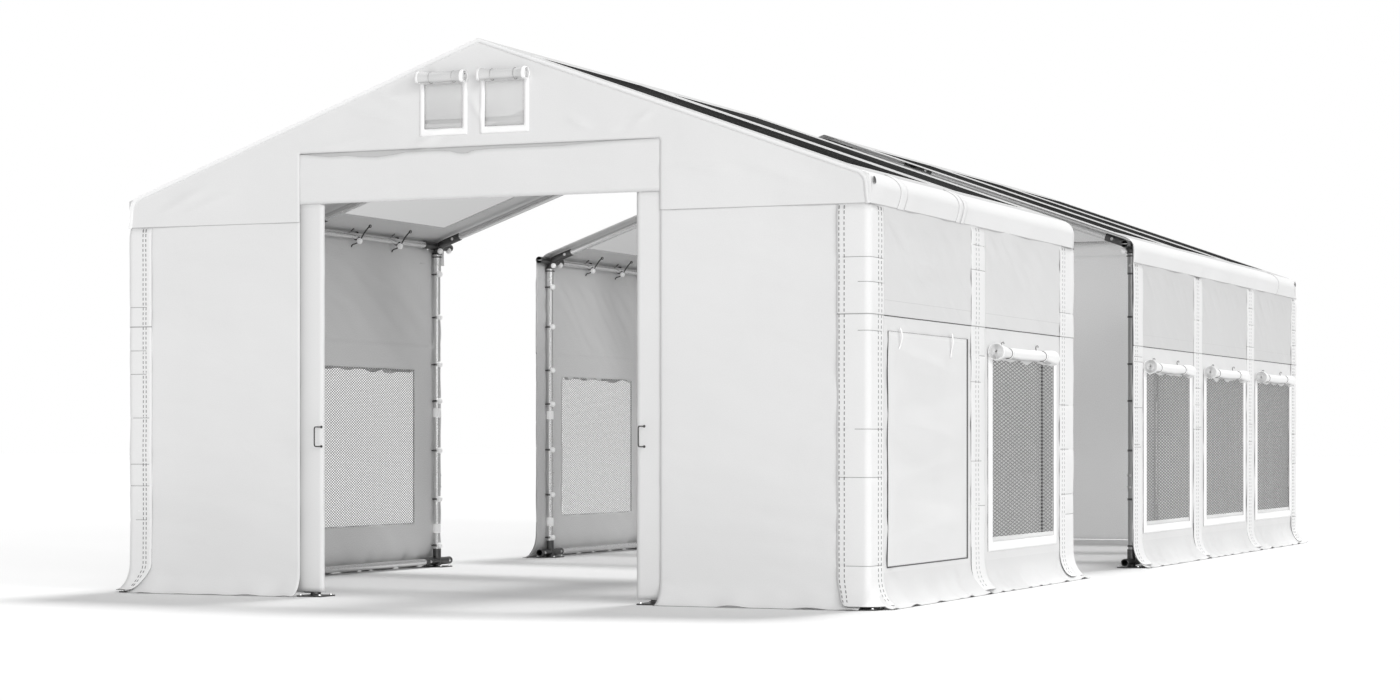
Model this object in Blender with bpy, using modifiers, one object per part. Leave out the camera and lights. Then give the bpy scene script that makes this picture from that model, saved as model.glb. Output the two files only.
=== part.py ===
"""Marquee tent, 5 m wide, standing as two sections with an open bay between them.

Metres, +Z up. X runs across the tent, with the right side at +X. The front gable
faces -Y. The origin is on the ground, in the middle of the footprint.
"""
import math

import bmesh
import bpy
from mathutils import Vector

# Fabric is modelled as sheets of one thickness that lie in layers, a hair apart
SHEET = 0.004
GAP = 0.0003
LAYER = SHEET + GAP

# Outer faces of the outermost layer: roof edge at the sides, gables at the ends
SIDE_X = 2.505
END_Y = 6.005
RIDGE_Z = 3.3735
EAVE_Z = 2.480

# Galvanised tube and the sleeves of its connectors
TUBE_R = 0.025
SLEEVE_R = 0.0295
RAIL_SLEEVE_R = 0.0287
POST_SLEEVE_R = 0.0303
CONNECTOR_NOSE = 0.012
SPLICE_R = 0.0275
SIDES = 8
SLEEVE_REACH = 0.21
SOCKET_R = 0.022
SOCKET_DEPTH = 0.06

# Frame lines along the tent: three carry the front section, four the rear one
POST_X = SIDE_X - 3 * LAYER - SLEEVE_R
END_FRAME_Y = END_Y - 3 * LAYER - SLEEVE_R
FRONT_FRAMES = (-END_FRAME_Y, -3.966, -1.966)
REAR_FRAMES = (0.0, 2.0, 4.0, END_FRAME_Y)
SIDE_SIGNS = {"left": -1, "right": 1}

# Feet and ground bars
PLATE = 0.18
PLATE_T = 0.008
GROUND_BAR_Z = 0.045
FOOT_SOCKET_TOP = 0.14
FOOT_SOCKET_R = 0.031
FOOT_STUB = 0.20

# Posts between the foot socket and the corner connector
POST_SLEEVE_Z = 2.24
SPLICE_Z = (0.58, 0.72)

# Door posts that reach up to the rafters, and the collar between the rafters
DOOR_POST_X = 1.155
DOOR_POST_TOP = 2.882
COLLAR_Z = 2.93
COLLAR_R = 0.018

# Fabric edges
FRONT_FABRIC_END = -1.77
REAR_FABRIC_START = {"left": -0.245, "right": -0.10}
ROOF_REAR_START = -0.10
ROOF_OVERLAP = 0.005
VALANCE_Z = 2.318
WALL_TOP_Z = 2.46
SIDE_FLARE = 0.13
SIDE_SKIRT_Z = 0.20
END_FLARE = 0.10
END_SKIRT_Z = 0.15
SKIRT_STEPS = 5

# Cover strips over the posts stand a little proud of the walls
STRIP_WIDTH = 0.27
STRIP_PROUD = 0.003
CORNER_STRIP = 0.24

# Side windows, centred in each bay
WINDOW_WIDTH = 1.40
WINDOW_Z = (0.345, 1.50)
WINDOW_CUT = (-0.10, 0.02)
ROLL_LENGTH = 1.40
ROLL_R = 0.052
ROLL_Z = 1.535
ROLL_SHIFT = -0.12
NET_MARGIN = 0.05
COVER_WIDTH = 1.485
COVER_Z = (0.23, 1.60)

# Skylight openings in the roof, measured across the slope and from each frame
SKYLIGHT_X = (0.26, 2.27)
SKYLIGHT_FROM_FRAME = 0.24
FOIL_MARGIN = 0.06
CUT_REACH = 0.3

# Doorway, a little left of the middle: edges of the end walls and of the jamb strips
WALL_INNER_X = {"left": -1.246, "right": 1.196}
JAMB_INNER_X = {"left": -1.08, "right": 1.04}
JAMB_OUTER_X = {"left": -1.27, "right": 1.22}
JAMB_BOTTOM_Z = 0.012
HEADER_Z = (2.43, 2.78)
GABLE_NOTCH_Z = 2.74

# Two small windows in each gable
GABLE_WINDOW_X = (-0.243, 0.172)
GABLE_WINDOW_WIDTH = 0.245
GABLE_WINDOW_Z = (2.858, 3.13)
GABLE_PANE_MARGIN = 0.03
GABLE_ROLL_X = (-0.212, 0.187)
GABLE_ROLL_R = 0.036
GABLE_ROLL_LENGTH = 0.35
GABLE_ROLL_Z = 3.172

# Handles on the jambs
HANDLE_X = 1.095
HANDLE_Z = (0.93, 1.05)
HANDLE_REACH = 0.085
HANDLE_R = 0.004
HANDLE_BEND = 0.018
BEND_STEPS = 4

SLOPE = (RIDGE_Z - EAVE_Z) / SIDE_X
SLOPE_COS = 1 / math.hypot(1, SLOPE)
AXIS_DROP = (2 * LAYER + SLEEVE_R) / SLOPE_COS
AXIS_RIDGE_Z = RIDGE_Z - AXIS_DROP
AXIS_EAVE_Z = AXIS_RIDGE_Z - SLOPE * POST_X

for old in list(bpy.data.objects):
    bpy.data.objects.remove(old, do_unlink=True)


def collection(name):
    """Return a new collection linked to the scene."""
    made = bpy.data.collections.new(name)
    bpy.context.scene.collection.children.link(made)
    return made


TENT = collection("marquee_tent")
CUTTERS = collection("cutters")


def finish(name, colour, roughness, metallic=0.0):
    """Principled material of one plain colour."""
    material = bpy.data.materials.new(name)
    material.use_nodes = True
    shader = material.node_tree.nodes["Principled BSDF"]
    shader.inputs["Base Color"].default_value = (*colour, 1.0)
    shader.inputs["Roughness"].default_value = roughness
    shader.inputs["Metallic"].default_value = metallic
    return material


WHITE_FABRIC = finish("white_fabric", (0.82, 0.82, 0.82), 0.55)
CLEAR_FOIL = finish("clear_foil", (0.55, 0.56, 0.57), 0.12)
GREY_NET = finish("grey_net", (0.40, 0.40, 0.40), 0.70)
STEEL = finish("galvanised_steel", (0.55, 0.55, 0.56), 0.38, 1.0)
DARK_STEEL = finish("dark_steel", (0.12, 0.12, 0.12), 0.45, 1.0)


def place(thing, name, material):
    """Name an object, give it its material and file it in the tent's collection."""
    thing.name = name
    thing.data.name = name
    thing.data.materials.clear()
    thing.data.materials.append(material)
    for group in list(thing.users_collection):
        group.objects.unlink(thing)
    TENT.objects.link(thing)
    if thing.type == "MESH" and material in (STEEL, DARK_STEEL):
        thing.data.shade_smooth()
        thing.data.set_sharp_from_angle(angle=math.radians(40))
    return thing


def rod(radius, start, end):
    """Solid round bar between two points."""
    start, end = Vector(start), Vector(end)
    along = end - start
    turn = along.to_track_quat("Z", "Y").to_euler()
    bpy.ops.mesh.primitive_cylinder_add(vertices=SIDES, radius=radius, depth=along.length,
                                        location=(start + end) / 2, rotation=turn)
    return bpy.context.object


def block(low, high):
    """Box between two opposite corners."""
    low, high = Vector(low), Vector(high)
    bpy.ops.mesh.primitive_cube_add(size=1, location=(low + high) / 2)
    made = bpy.context.object
    made.scale = high - low
    return made


def as_mesh(thing):
    """Turn a curve into a closed mesh object in the same place."""
    if thing.type == "MESH":
        return thing
    depsgraph = bpy.context.evaluated_depsgraph_get()
    mesh = bpy.data.meshes.new_from_object(thing.evaluated_get(depsgraph))
    shell = bmesh.new()
    shell.from_mesh(mesh)
    bmesh.ops.remove_doubles(shell, verts=shell.verts, dist=0.00001)
    shell.to_mesh(mesh)
    shell.free()
    solid = bpy.data.objects.new(thing.name, mesh)
    solid.matrix_world = thing.matrix_world.copy()
    bpy.context.scene.collection.objects.link(solid)
    bpy.data.objects.remove(thing, do_unlink=True)
    return solid


def fuse(name, material, pieces, cuts=()):
    """Join pieces into one closed body, take the cuts out of it, and apply it all."""
    pieces = [as_mesh(piece) for piece in pieces]
    cuts = [as_mesh(cut) for cut in cuts]
    body = pieces[0]
    groups = []
    for operation, others in (("UNION", pieces[1:]), ("DIFFERENCE", cuts)):
        if not others:
            continue
        group = bpy.data.collections.new(f"{name}_{operation.lower()}")
        CUTTERS.children.link(group)
        for other in others:
            group.objects.link(other)
        step = body.modifiers.new(operation.lower(), "BOOLEAN")
        step.operation = operation
        step.solver = "EXACT"
        step.operand_type = "COLLECTION"
        step.collection = group
        groups.append(group)
    bpy.context.view_layer.update()
    depsgraph = bpy.context.evaluated_depsgraph_get()
    mesh = bpy.data.meshes.new_from_object(body.evaluated_get(depsgraph))
    mesh.transform(body.matrix_world)
    joined = bpy.data.objects.new(name, mesh)
    bpy.context.scene.collection.objects.link(joined)
    for used in pieces + cuts:
        bpy.data.objects.remove(used, do_unlink=True)
    for group in groups:
        bpy.data.collections.remove(group)
    return place(joined, name, material)


def outline(loops, thickness, centre, turn):
    """Flat plate from closed outlines, the first its edge and the others its holes."""
    curve = bpy.data.curves.new("outline", "CURVE")
    curve.dimensions = "2D"
    curve.fill_mode = "BOTH"
    curve.extrude = thickness / 2
    for loop in loops:
        spline = curve.splines.new("POLY")
        spline.points.add(len(loop) - 1)
        for point, (across, up) in zip(spline.points, loop):
            point.co = (across, up, 0, 1)
        spline.use_cyclic_u = True
    plate = bpy.data.objects.new("outline", curve)
    plate.location = centre
    plate.rotation_euler = turn
    bpy.context.scene.collection.objects.link(plate)
    bpy.context.view_layer.update()
    return plate


def end_plate(loops, outer_y, thickness=SHEET):
    """Plate across the tent with (x, z) outlines; outer_y is its face away from the middle."""
    side = math.copysign(1, outer_y)
    return outline(loops, thickness, (0, outer_y - side * thickness / 2, 0), (math.pi / 2, 0, 0))


def side_plate(loops, outer_x, thickness=SHEET):
    """Plate along the tent with (y, z) outlines; outer_x is its outer face."""
    side = math.copysign(1, outer_x)
    return outline(loops, thickness, (outer_x - side * thickness / 2, 0, 0),
                   (math.pi / 2, 0, math.pi / 2))


def long_profile(loop, start_y, end_y):
    """Outline across the tent, (x, z), carried along the tent between two places."""
    return outline([loop], end_y - start_y, (0, (start_y + end_y) / 2, 0), (math.pi / 2, 0, 0))


def rectangle(low_across, high_across, low_up, high_up):
    """Four corners of an upright rectangle."""
    return [(low_across, low_up), (high_across, low_up), (high_across, high_up), (low_across, high_up)]


def skirt_line(top, skirt_z, flare):
    """Middle line of a hanging sheet as (outwards, height): straight, then swept onto the ground."""
    line = [(0.0, top)]
    floor = SHEET / 2
    for step in range(SKIRT_STEPS + 1):
        angle = math.pi / 2 * step / SKIRT_STEPS
        line.append((flare * (1 - math.cos(angle)), floor + (skirt_z - floor) * (1 - math.sin(angle))))
    return line


def hung_sheet(line, start, end, plane, outward, grow_in, grow_out):
    """Closed sheet from a skirt line: plane places it, outward is the way its skirt sweeps."""
    shell = bmesh.new()
    along = Vector((abs(outward[1]), abs(outward[0]), 0))
    rows = []
    for place_along in (start, end):
        rows.append([shell.verts.new(along * place_along + Vector(outward) * (plane + out)
                                     + Vector((0, 0, up))) for out, up in line])
    for low in range(len(line) - 1):
        shell.faces.new((rows[0][low], rows[0][low + 1], rows[1][low + 1], rows[1][low]))
    bmesh.ops.recalc_face_normals(shell, faces=shell.faces)
    shell.faces.ensure_lookup_table()
    if shell.faces[0].normal.dot(Vector(outward)) < 0:
        bmesh.ops.reverse_faces(shell, faces=shell.faces)
    mesh = bpy.data.meshes.new("hung_sheet")
    shell.to_mesh(mesh)
    shell.free()
    sheet = bpy.data.objects.new("hung_sheet", mesh)
    bpy.context.scene.collection.objects.link(sheet)
    wall = sheet.modifiers.new("thickness", "SOLIDIFY")
    wall.thickness = grow_in + grow_out
    wall.offset = (grow_out - grow_in) / (grow_in + grow_out)
    wall.use_even_offset = True
    return sheet


def rafter_point(x, y):
    """Point on the rafters' axis."""
    return Vector((x, y, AXIS_RIDGE_Z - SLOPE * abs(x)))


def along_line(y, reach):
    """Ends of a rail sleeve at y: it stops at a gable and reaches both ways elsewhere."""
    start = y - (CONNECTOR_NOSE if y == -END_FRAME_Y else reach)
    stop = y + (CONNECTOR_NOSE if y == END_FRAME_Y else reach)
    return start, stop


def roof_frame(name, lines, end_line):
    """Rafters, eave and ridge rails and their connectors; end_line carries the collar."""
    first, last = min(lines) + CONNECTOR_NOSE, max(lines) - CONNECTOR_NOSE
    pieces = []
    for side in (-1, 0, 1):
        low = rafter_point(side * POST_X, first)
        high = rafter_point(side * POST_X, last)
        pieces.append(rod(TUBE_R, low, high))
        for y in lines:
            start, stop = along_line(y, SLEEVE_REACH)
            pieces.append(rod(RAIL_SLEEVE_R, (low.x, start, low.z), (low.x, stop, low.z)))
    for y in lines:
        ridge = rafter_point(0, y)
        for side in SIDE_SIGNS.values():
            eave = rafter_point(side * POST_X, y)
            slope = (ridge - eave).normalized()
            pieces.append(rod(POST_SLEEVE_R, (eave.x, y, POST_SLEEVE_Z),
                              (eave.x, y, eave.z + CONNECTOR_NOSE)))
            pieces.append(rod(SLEEVE_R, eave - slope * CONNECTOR_NOSE / 2,
                              eave + slope * SLEEVE_REACH))
            pieces.append(rod(SLEEVE_R, ridge - slope * SLEEVE_REACH,
                              ridge + slope * CONNECTOR_NOSE / 2))
            pieces.append(rod(TUBE_R, eave + slope * SLEEVE_REACH / 2,
                              ridge - slope * SLEEVE_REACH / 2))
    cuts = []
    open_line = max(lines) if end_line == min(lines) else min(lines)
    outward = math.copysign(1, open_line - end_line)
    mouth = open_line + outward * SLEEVE_REACH
    for x in (-POST_X, 0, POST_X):
        centre = rafter_point(x, 0).z
        cuts.append(rod(SOCKET_R, (x, mouth - outward * SOCKET_DEPTH, centre),
                        (x, mouth + outward * SOCKET_DEPTH, centre)))
    collar_x = (AXIS_RIDGE_Z - COLLAR_Z) / SLOPE
    pieces.append(rod(COLLAR_R, (-collar_x, end_line, COLLAR_Z), (collar_x, end_line, COLLAR_Z)))
    return fuse(name, STEEL, pieces, cuts)


def posts():
    """Upright tubes with a bolted splice, one on each side of every frame line."""
    low, high = FOOT_SOCKET_TOP + GAP, POST_SLEEVE_Z - GAP
    profile = [(0, high), (TUBE_R, high), (TUBE_R, SPLICE_Z[1]), (SPLICE_R, SPLICE_Z[1]),
               (SPLICE_R, SPLICE_Z[0]), (TUBE_R, SPLICE_Z[0]), (TUBE_R, low), (0, low)]
    mesh = bpy.data.meshes.new("post")
    mesh.from_pydata([(r, 0, z) for r, z in profile],
                     [(n, n + 1) for n in range(len(profile) - 1)], [])
    for number, y in enumerate(FRONT_FRAMES + REAR_FRAMES, start=1):
        for side_name, side in SIDE_SIGNS.items():
            post = bpy.data.objects.new("post", mesh)
            post.location = (side * POST_X, y, 0)
            turned = post.modifiers.new("turned", "SCREW")
            turned.steps = SIDES
            turned.render_steps = SIDES
            turned.use_merge_vertices = True
            turned.merge_threshold = 0.0001
            place(post, f"post_{number}_{side_name}", STEEL)


def foot(x, y):
    """Base plate with the socket that a post stands in."""
    half = PLATE / 2
    return [block((x - half, y - half, 0), (x + half, y + half, PLATE_T)),
            rod(FOOT_SOCKET_R, (x, y, PLATE_T / 2), (x, y, FOOT_SOCKET_TOP))]


def ground_frame(name, side, lines, end_line):
    """Feet of one side of a section with the ground bars between them and to the door post."""
    x = side * POST_X
    pieces = []
    for y in lines:
        pieces += foot(x, y)
        start, stop = along_line(y, FOOT_STUB)
        pieces.append(rod(RAIL_SLEEVE_R, (x, start, GROUND_BAR_Z), (x, stop, GROUND_BAR_Z)))
    pieces.append(rod(TUBE_R, (x, min(lines) + CONNECTOR_NOSE, GROUND_BAR_Z),
                      (x, max(lines) - CONNECTOR_NOSE, GROUND_BAR_Z)))
    door_side = side * (DOOR_POST_X + FOOT_SOCKET_R + GAP)
    pieces.append(rod(TUBE_R, (x - side * FOOT_STUB / 2, end_line, GROUND_BAR_Z),
                      (door_side, end_line, GROUND_BAR_Z)))
    pieces.append(rod(SLEEVE_R, (x + side * CONNECTOR_NOSE / 2, end_line, GROUND_BAR_Z),
                      (x - side * FOOT_STUB, end_line, GROUND_BAR_Z)))
    open_line = max(lines) if end_line == min(lines) else min(lines)
    outward = math.copysign(1, open_line - end_line)
    mouth = open_line + outward * FOOT_STUB
    cut = rod(SOCKET_R, (x, mouth - outward * SOCKET_DEPTH, GROUND_BAR_Z),
              (x, mouth + outward * SOCKET_DEPTH, GROUND_BAR_Z))
    return fuse(name, STEEL, pieces, [cut])


def door_post(name, side, end):
    """Post beside a doorway with its foot, from the ground up to the rafter."""
    x, y = side * DOOR_POST_X, end * (END_Y - 3 * LAYER - FOOT_SOCKET_R)
    return fuse(name, STEEL, foot(x, y) + [rod(TUBE_R, (x, y, PLATE_T / 2), (x, y, DOOR_POST_TOP))])


def roof_height(x, depth=0.0):
    """Height of the roof's outer face at x, or of the surface this deep below it."""
    return RIDGE_Z - depth / SLOPE_COS - SLOPE * abs(x)


def bays(lines):
    """Pairs of neighbouring frame lines."""
    return list(zip(lines[:-1], lines[1:]))


def roof_sheet(name, lines, start_y, end_y):
    """One sheet over both slopes with its side valances and an opening for each skylight."""
    inner_x = SIDE_X - SHEET
    loop = [(-SIDE_X, VALANCE_Z), (-SIDE_X, EAVE_Z), (0, RIDGE_Z), (SIDE_X, EAVE_Z),
            (SIDE_X, VALANCE_Z), (inner_x, VALANCE_Z), (inner_x, roof_height(inner_x, SHEET)),
            (0, roof_height(0, SHEET)), (-inner_x, roof_height(inner_x, SHEET)),
            (-inner_x, VALANCE_Z)]
    cuts = []
    for near, far in bays(lines):
        for side in SIDE_SIGNS.values():
            across = sorted(side * x for x in SKYLIGHT_X)
            cuts.append(block((across[0], near + SKYLIGHT_FROM_FRAME, EAVE_Z - CUT_REACH),
                              (across[1], far - SKYLIGHT_FROM_FRAME, RIDGE_Z + CUT_REACH)))
    return fuse(name, WHITE_FABRIC, [long_profile(loop, start_y, end_y)], cuts)


def skylight_foil(name, lines):
    """Clear foil under both slopes, closing every skylight of a section."""
    reach = SKYLIGHT_X[1] + FOIL_MARGIN
    outer, inner = LAYER, LAYER + SHEET
    loop = [(-reach, roof_height(reach, outer)), (0, roof_height(0, outer)),
            (reach, roof_height(reach, outer)), (reach, roof_height(reach, inner)),
            (0, roof_height(0, inner)), (-reach, roof_height(reach, inner))]
    margin = SKYLIGHT_FROM_FRAME - FOIL_MARGIN
    foil = as_mesh(long_profile(loop, min(lines) + margin, max(lines) - margin))
    return place(foil, name, CLEAR_FOIL)


def gable(name, end):
    """End triangle with its valance, two window openings and the rolled window flaps."""
    outer_y = end * END_Y
    edge_x = SIDE_X - LAYER
    left, right = WALL_INNER_X["left"], WALL_INNER_X["right"]
    loop = [(-edge_x, VALANCE_Z), (left, VALANCE_Z), (left, GABLE_NOTCH_Z), (right, GABLE_NOTCH_Z),
            (right, VALANCE_Z), (edge_x, VALANCE_Z), (edge_x, roof_height(edge_x, LAYER)),
            (0, roof_height(0, LAYER)), (-edge_x, roof_height(edge_x, LAYER))]
    half = GABLE_WINDOW_WIDTH / 2
    holes = [rectangle(x - half, x + half, *GABLE_WINDOW_Z) for x in GABLE_WINDOW_X]
    pieces = [end_plate([loop] + holes, outer_y)]
    roll_y = outer_y + end * (GABLE_ROLL_R - SHEET / 2)
    half_roll = GABLE_ROLL_LENGTH / 2
    for x in GABLE_ROLL_X:
        pieces.append(rod(GABLE_ROLL_R, (x - half_roll, roll_y, GABLE_ROLL_Z),
                          (x + half_roll, roll_y, GABLE_ROLL_Z)))
    return fuse(name, WHITE_FABRIC, pieces)


def gable_panes(name, end):
    """Clear sheet behind both gable windows."""
    half = GABLE_WINDOW_WIDTH / 2 + GABLE_PANE_MARGIN
    loop = rectangle(GABLE_WINDOW_X[0] - half, GABLE_WINDOW_X[1] + half,
                     GABLE_WINDOW_Z[0] - GABLE_PANE_MARGIN, GABLE_WINDOW_Z[1] + GABLE_PANE_MARGIN)
    return place(as_mesh(end_plate([loop], end * (END_Y - LAYER))), name, CLEAR_FOIL)


def end_wall(name, side_name, end):
    """Gable-side wall panel between the corner and the door, swept onto the ground."""
    line = skirt_line(WALL_TOP_Z, END_SKIRT_Z, END_FLARE)
    plane = END_Y - LAYER - SHEET / 2
    corner = SIDE_SIGNS[side_name] * (SIDE_X - 2 * LAYER)
    start, stop = sorted((WALL_INNER_X[side_name], corner))
    panel = hung_sheet(line, start, stop, plane, (0, end, 0), SHEET / 2, SHEET / 2)
    return place(panel, name, WHITE_FABRIC)


def door_surround(name, end):
    """Band above the doorway with a jamb strip down each side."""
    (left, right), (outer_left, outer_right) = JAMB_INNER_X.values(), JAMB_OUTER_X.values()
    loop = [(outer_left, JAMB_BOTTOM_Z), (left, JAMB_BOTTOM_Z), (left, HEADER_Z[0]),
            (right, HEADER_Z[0]), (right, JAMB_BOTTOM_Z), (outer_right, JAMB_BOTTOM_Z),
            (outer_right, HEADER_Z[1]), (outer_left, HEADER_Z[1])]
    return place(as_mesh(end_plate([loop], end * (END_Y - 2 * LAYER))), name, WHITE_FABRIC)


def closed_door(name, end):
    """Closed door sheet that fills the doorway from band to ground."""
    loop = rectangle(JAMB_OUTER_X["left"], JAMB_OUTER_X["right"], JAMB_BOTTOM_Z, HEADER_Z[1])
    return place(as_mesh(end_plate([loop], end * (END_Y - 2 * LAYER))), name, WHITE_FABRIC)


def side_wall(name, side, lines, start, stop, rolled):
    """Side of a section with its windows, the cover strips over the posts and the window rolls."""
    line = skirt_line(WALL_TOP_Z, SIDE_SKIRT_Z, SIDE_FLARE)
    plane = SIDE_X - LAYER - SHEET / 2
    outward = (side, 0, 0)
    pieces = [hung_sheet(line, start, stop, plane, outward, SHEET / 2, SHEET / 2)]
    strip_line = skirt_line(VALANCE_Z - GAP, SIDE_SKIRT_Z, SIDE_FLARE)
    for y in lines:
        low, high = y - STRIP_WIDTH / 2, y + STRIP_WIDTH / 2
        if y in (min(lines), max(lines)):
            near_start = y == min(lines)
            low = start if near_start else stop - CORNER_STRIP
            high = start + CORNER_STRIP if near_start else stop
        pieces.append(hung_sheet(strip_line, low, high, plane, outward, 0.0,
                                 SHEET / 2 + STRIP_PROUD))
    roll_x = side * (SIDE_X - LAYER + ROLL_R - SHEET / 2)
    cuts = []
    for bay, (near, far) in enumerate(bays(lines)):
        middle = (near + far) / 2
        half = WINDOW_WIDTH / 2
        across = sorted(side * (SIDE_X + reach) for reach in WINDOW_CUT)
        cuts.append(block((across[0], middle - half, WINDOW_Z[0]),
                          (across[1], middle + half, WINDOW_Z[1])))
        if rolled[bay]:
            near_end = middle + ROLL_SHIFT - ROLL_LENGTH / 2
            pieces.append(rod(ROLL_R, (roll_x, near_end, ROLL_Z),
                              (roll_x, near_end + ROLL_LENGTH, ROLL_Z)))
    return fuse(name, WHITE_FABRIC, pieces, cuts)


def window_net(name, side, lines):
    """Net behind every window of one side wall."""
    half = WINDOW_WIDTH / 2 + NET_MARGIN
    middles = [(near + far) / 2 for near, far in bays(lines)]
    loop = rectangle(min(middles) - half, max(middles) + half,
                     WINDOW_Z[0] - NET_MARGIN, WINDOW_Z[1] + NET_MARGIN)
    return place(as_mesh(side_plate([loop], side * (SIDE_X - 2 * LAYER))), name, GREY_NET)


def window_cover(name, side, near, far):
    """Closed flap over one window."""
    middle = (near + far) / 2
    loop = rectangle(middle - COVER_WIDTH / 2, middle + COVER_WIDTH / 2, *COVER_Z)
    return place(as_mesh(side_plate([loop], side * SIDE_X)), name, WHITE_FABRIC)


def handle(name, side):
    """Bow of dark wire that stands out from a front jamb."""
    root_y = -(END_Y - 2 * LAYER) - GAP
    tip_y = root_y - HANDLE_REACH
    route = [(root_y, HANDLE_Z[0])]
    for centre_z, first in ((HANDLE_Z[0] + HANDLE_BEND, -90), (HANDLE_Z[1] - HANDLE_BEND, 0)):
        for step in range(BEND_STEPS + 1):
            angle = math.radians(first + 90 * step / BEND_STEPS)
            route.append((tip_y + HANDLE_BEND - HANDLE_BEND * math.cos(angle),
                          centre_z + HANDLE_BEND * math.sin(angle)))
    route.append((root_y, HANDLE_Z[1]))
    curve = bpy.data.curves.new(name, "CURVE")
    curve.dimensions = "3D"
    curve.bevel_depth = HANDLE_R
    curve.bevel_resolution = 2
    curve.use_fill_caps = True
    spline = curve.splines.new("POLY")
    spline.points.add(len(route) - 1)
    for point, (y, z) in zip(spline.points, route):
        point.co = (side * HANDLE_X, y, z, 1)
    bow = bpy.data.objects.new("bow", curve)
    bpy.context.scene.collection.objects.link(bow)
    bpy.context.view_layer.update()
    return place(as_mesh(bow), name, DARK_STEEL)


def build():
    """Make every piece of the tent."""
    roof_frame("roof_frame_front", FRONT_FRAMES, FRONT_FRAMES[0])
    roof_frame("roof_frame_rear", REAR_FRAMES, REAR_FRAMES[-1])
    posts()
    wall_end = END_Y - LAYER
    for side_name, side in SIDE_SIGNS.items():
        ground_frame(f"ground_frame_front_{side_name}", side, FRONT_FRAMES, FRONT_FRAMES[0])
        ground_frame(f"ground_frame_rear_{side_name}", side, REAR_FRAMES, REAR_FRAMES[-1])
        end_wall(f"front_wall_{side_name}", side_name, -1)
        end_wall(f"rear_wall_{side_name}", side_name, 1)
        door_post(f"door_post_front_{side_name}", side, -1)
        door_post(f"door_post_rear_{side_name}", side, 1)
        front_rolled = (side_name == "left", True)
        side_wall(f"side_wall_front_{side_name}", side, FRONT_FRAMES, -wall_end,
                  FRONT_FABRIC_END, front_rolled)
        side_wall(f"side_wall_rear_{side_name}", side, REAR_FRAMES,
                  REAR_FABRIC_START[side_name], wall_end, (True, True, True))
        window_net(f"window_net_front_{side_name}", side, FRONT_FRAMES)
        window_net(f"window_net_rear_{side_name}", side, REAR_FRAMES)
        handle(f"door_handle_{side_name}", side)
    window_cover("window_cover_right", 1, FRONT_FRAMES[0], FRONT_FRAMES[1])
    for end_name, end in (("front", -1), ("rear", 1)):
        gable(f"gable_{end_name}", end)
        gable_panes(f"gable_panes_{end_name}", end)
    door_surround("door_surround_front", -1)
    closed_door("closed_door_rear", 1)
    roof_edge = END_Y + ROOF_OVERLAP
    roof_sheet("roof_sheet_front", FRONT_FRAMES, -roof_edge, FRONT_FABRIC_END)
    roof_sheet("roof_sheet_rear", REAR_FRAMES, ROOF_REAR_START, roof_edge)
    skylight_foil("skylight_foil_front", FRONT_FRAMES)
    skylight_foil("skylight_foil_rear", REAR_FRAMES)


build()
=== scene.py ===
"""Dressed model of a marquee tent that stands as two sections with an open bay between them.

Metres, Z up. X runs across the tent with the right side at +X, and the front gable faces -Y.
"""

import logging
import math
from dataclasses import astuple, dataclass, field
from enum import Enum
from typing import Callable

import bmesh
import bpy
import numpy as np
from mathutils import Matrix


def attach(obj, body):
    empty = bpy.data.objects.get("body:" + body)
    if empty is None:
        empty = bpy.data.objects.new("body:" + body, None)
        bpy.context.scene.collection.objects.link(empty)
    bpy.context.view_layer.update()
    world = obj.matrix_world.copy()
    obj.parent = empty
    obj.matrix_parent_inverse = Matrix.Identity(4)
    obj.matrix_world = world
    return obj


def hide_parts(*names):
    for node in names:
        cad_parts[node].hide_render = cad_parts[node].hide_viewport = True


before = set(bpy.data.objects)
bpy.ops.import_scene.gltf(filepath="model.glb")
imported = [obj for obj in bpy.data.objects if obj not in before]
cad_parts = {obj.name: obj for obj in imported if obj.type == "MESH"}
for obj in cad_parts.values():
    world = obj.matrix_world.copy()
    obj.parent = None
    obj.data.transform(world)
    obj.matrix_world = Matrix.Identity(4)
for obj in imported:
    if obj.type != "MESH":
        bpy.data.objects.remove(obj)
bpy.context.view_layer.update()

log = logging.getLogger("marquee_tent")

Array = np.ndarray
Pair = tuple[float, float]
Point = tuple[float, float, float]
Material = bpy.types.Material
Thing = bpy.types.Object
Tree = bpy.types.NodeTree
Node = bpy.types.Node
Socket = bpy.types.NodeSocket

TURN = 2 * math.pi
# Most of a noise's values lie in this range
NOISE_SPAN = (0.3, 0.7)
# Lowest height of hanging cloth above the ground
CLEAR = 0.0035

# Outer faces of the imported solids: roof edge at the sides, gables at the ends
SIDE_X = 2.505
END_Y = 6.005
RIDGE_Z = 3.3735
EAVE_Z = 2.480
SLOPE = (RIDGE_Z - EAVE_Z) / SIDE_X
SLOPE_COS = 1 / math.hypot(1, SLOPE)
LAYER = 0.0043

# The roof cloth lies a little higher than the solid that stands for it
ROOF_RIDGE_Z = 3.3955
ROOF_EAVE_Z = 2.492

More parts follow.
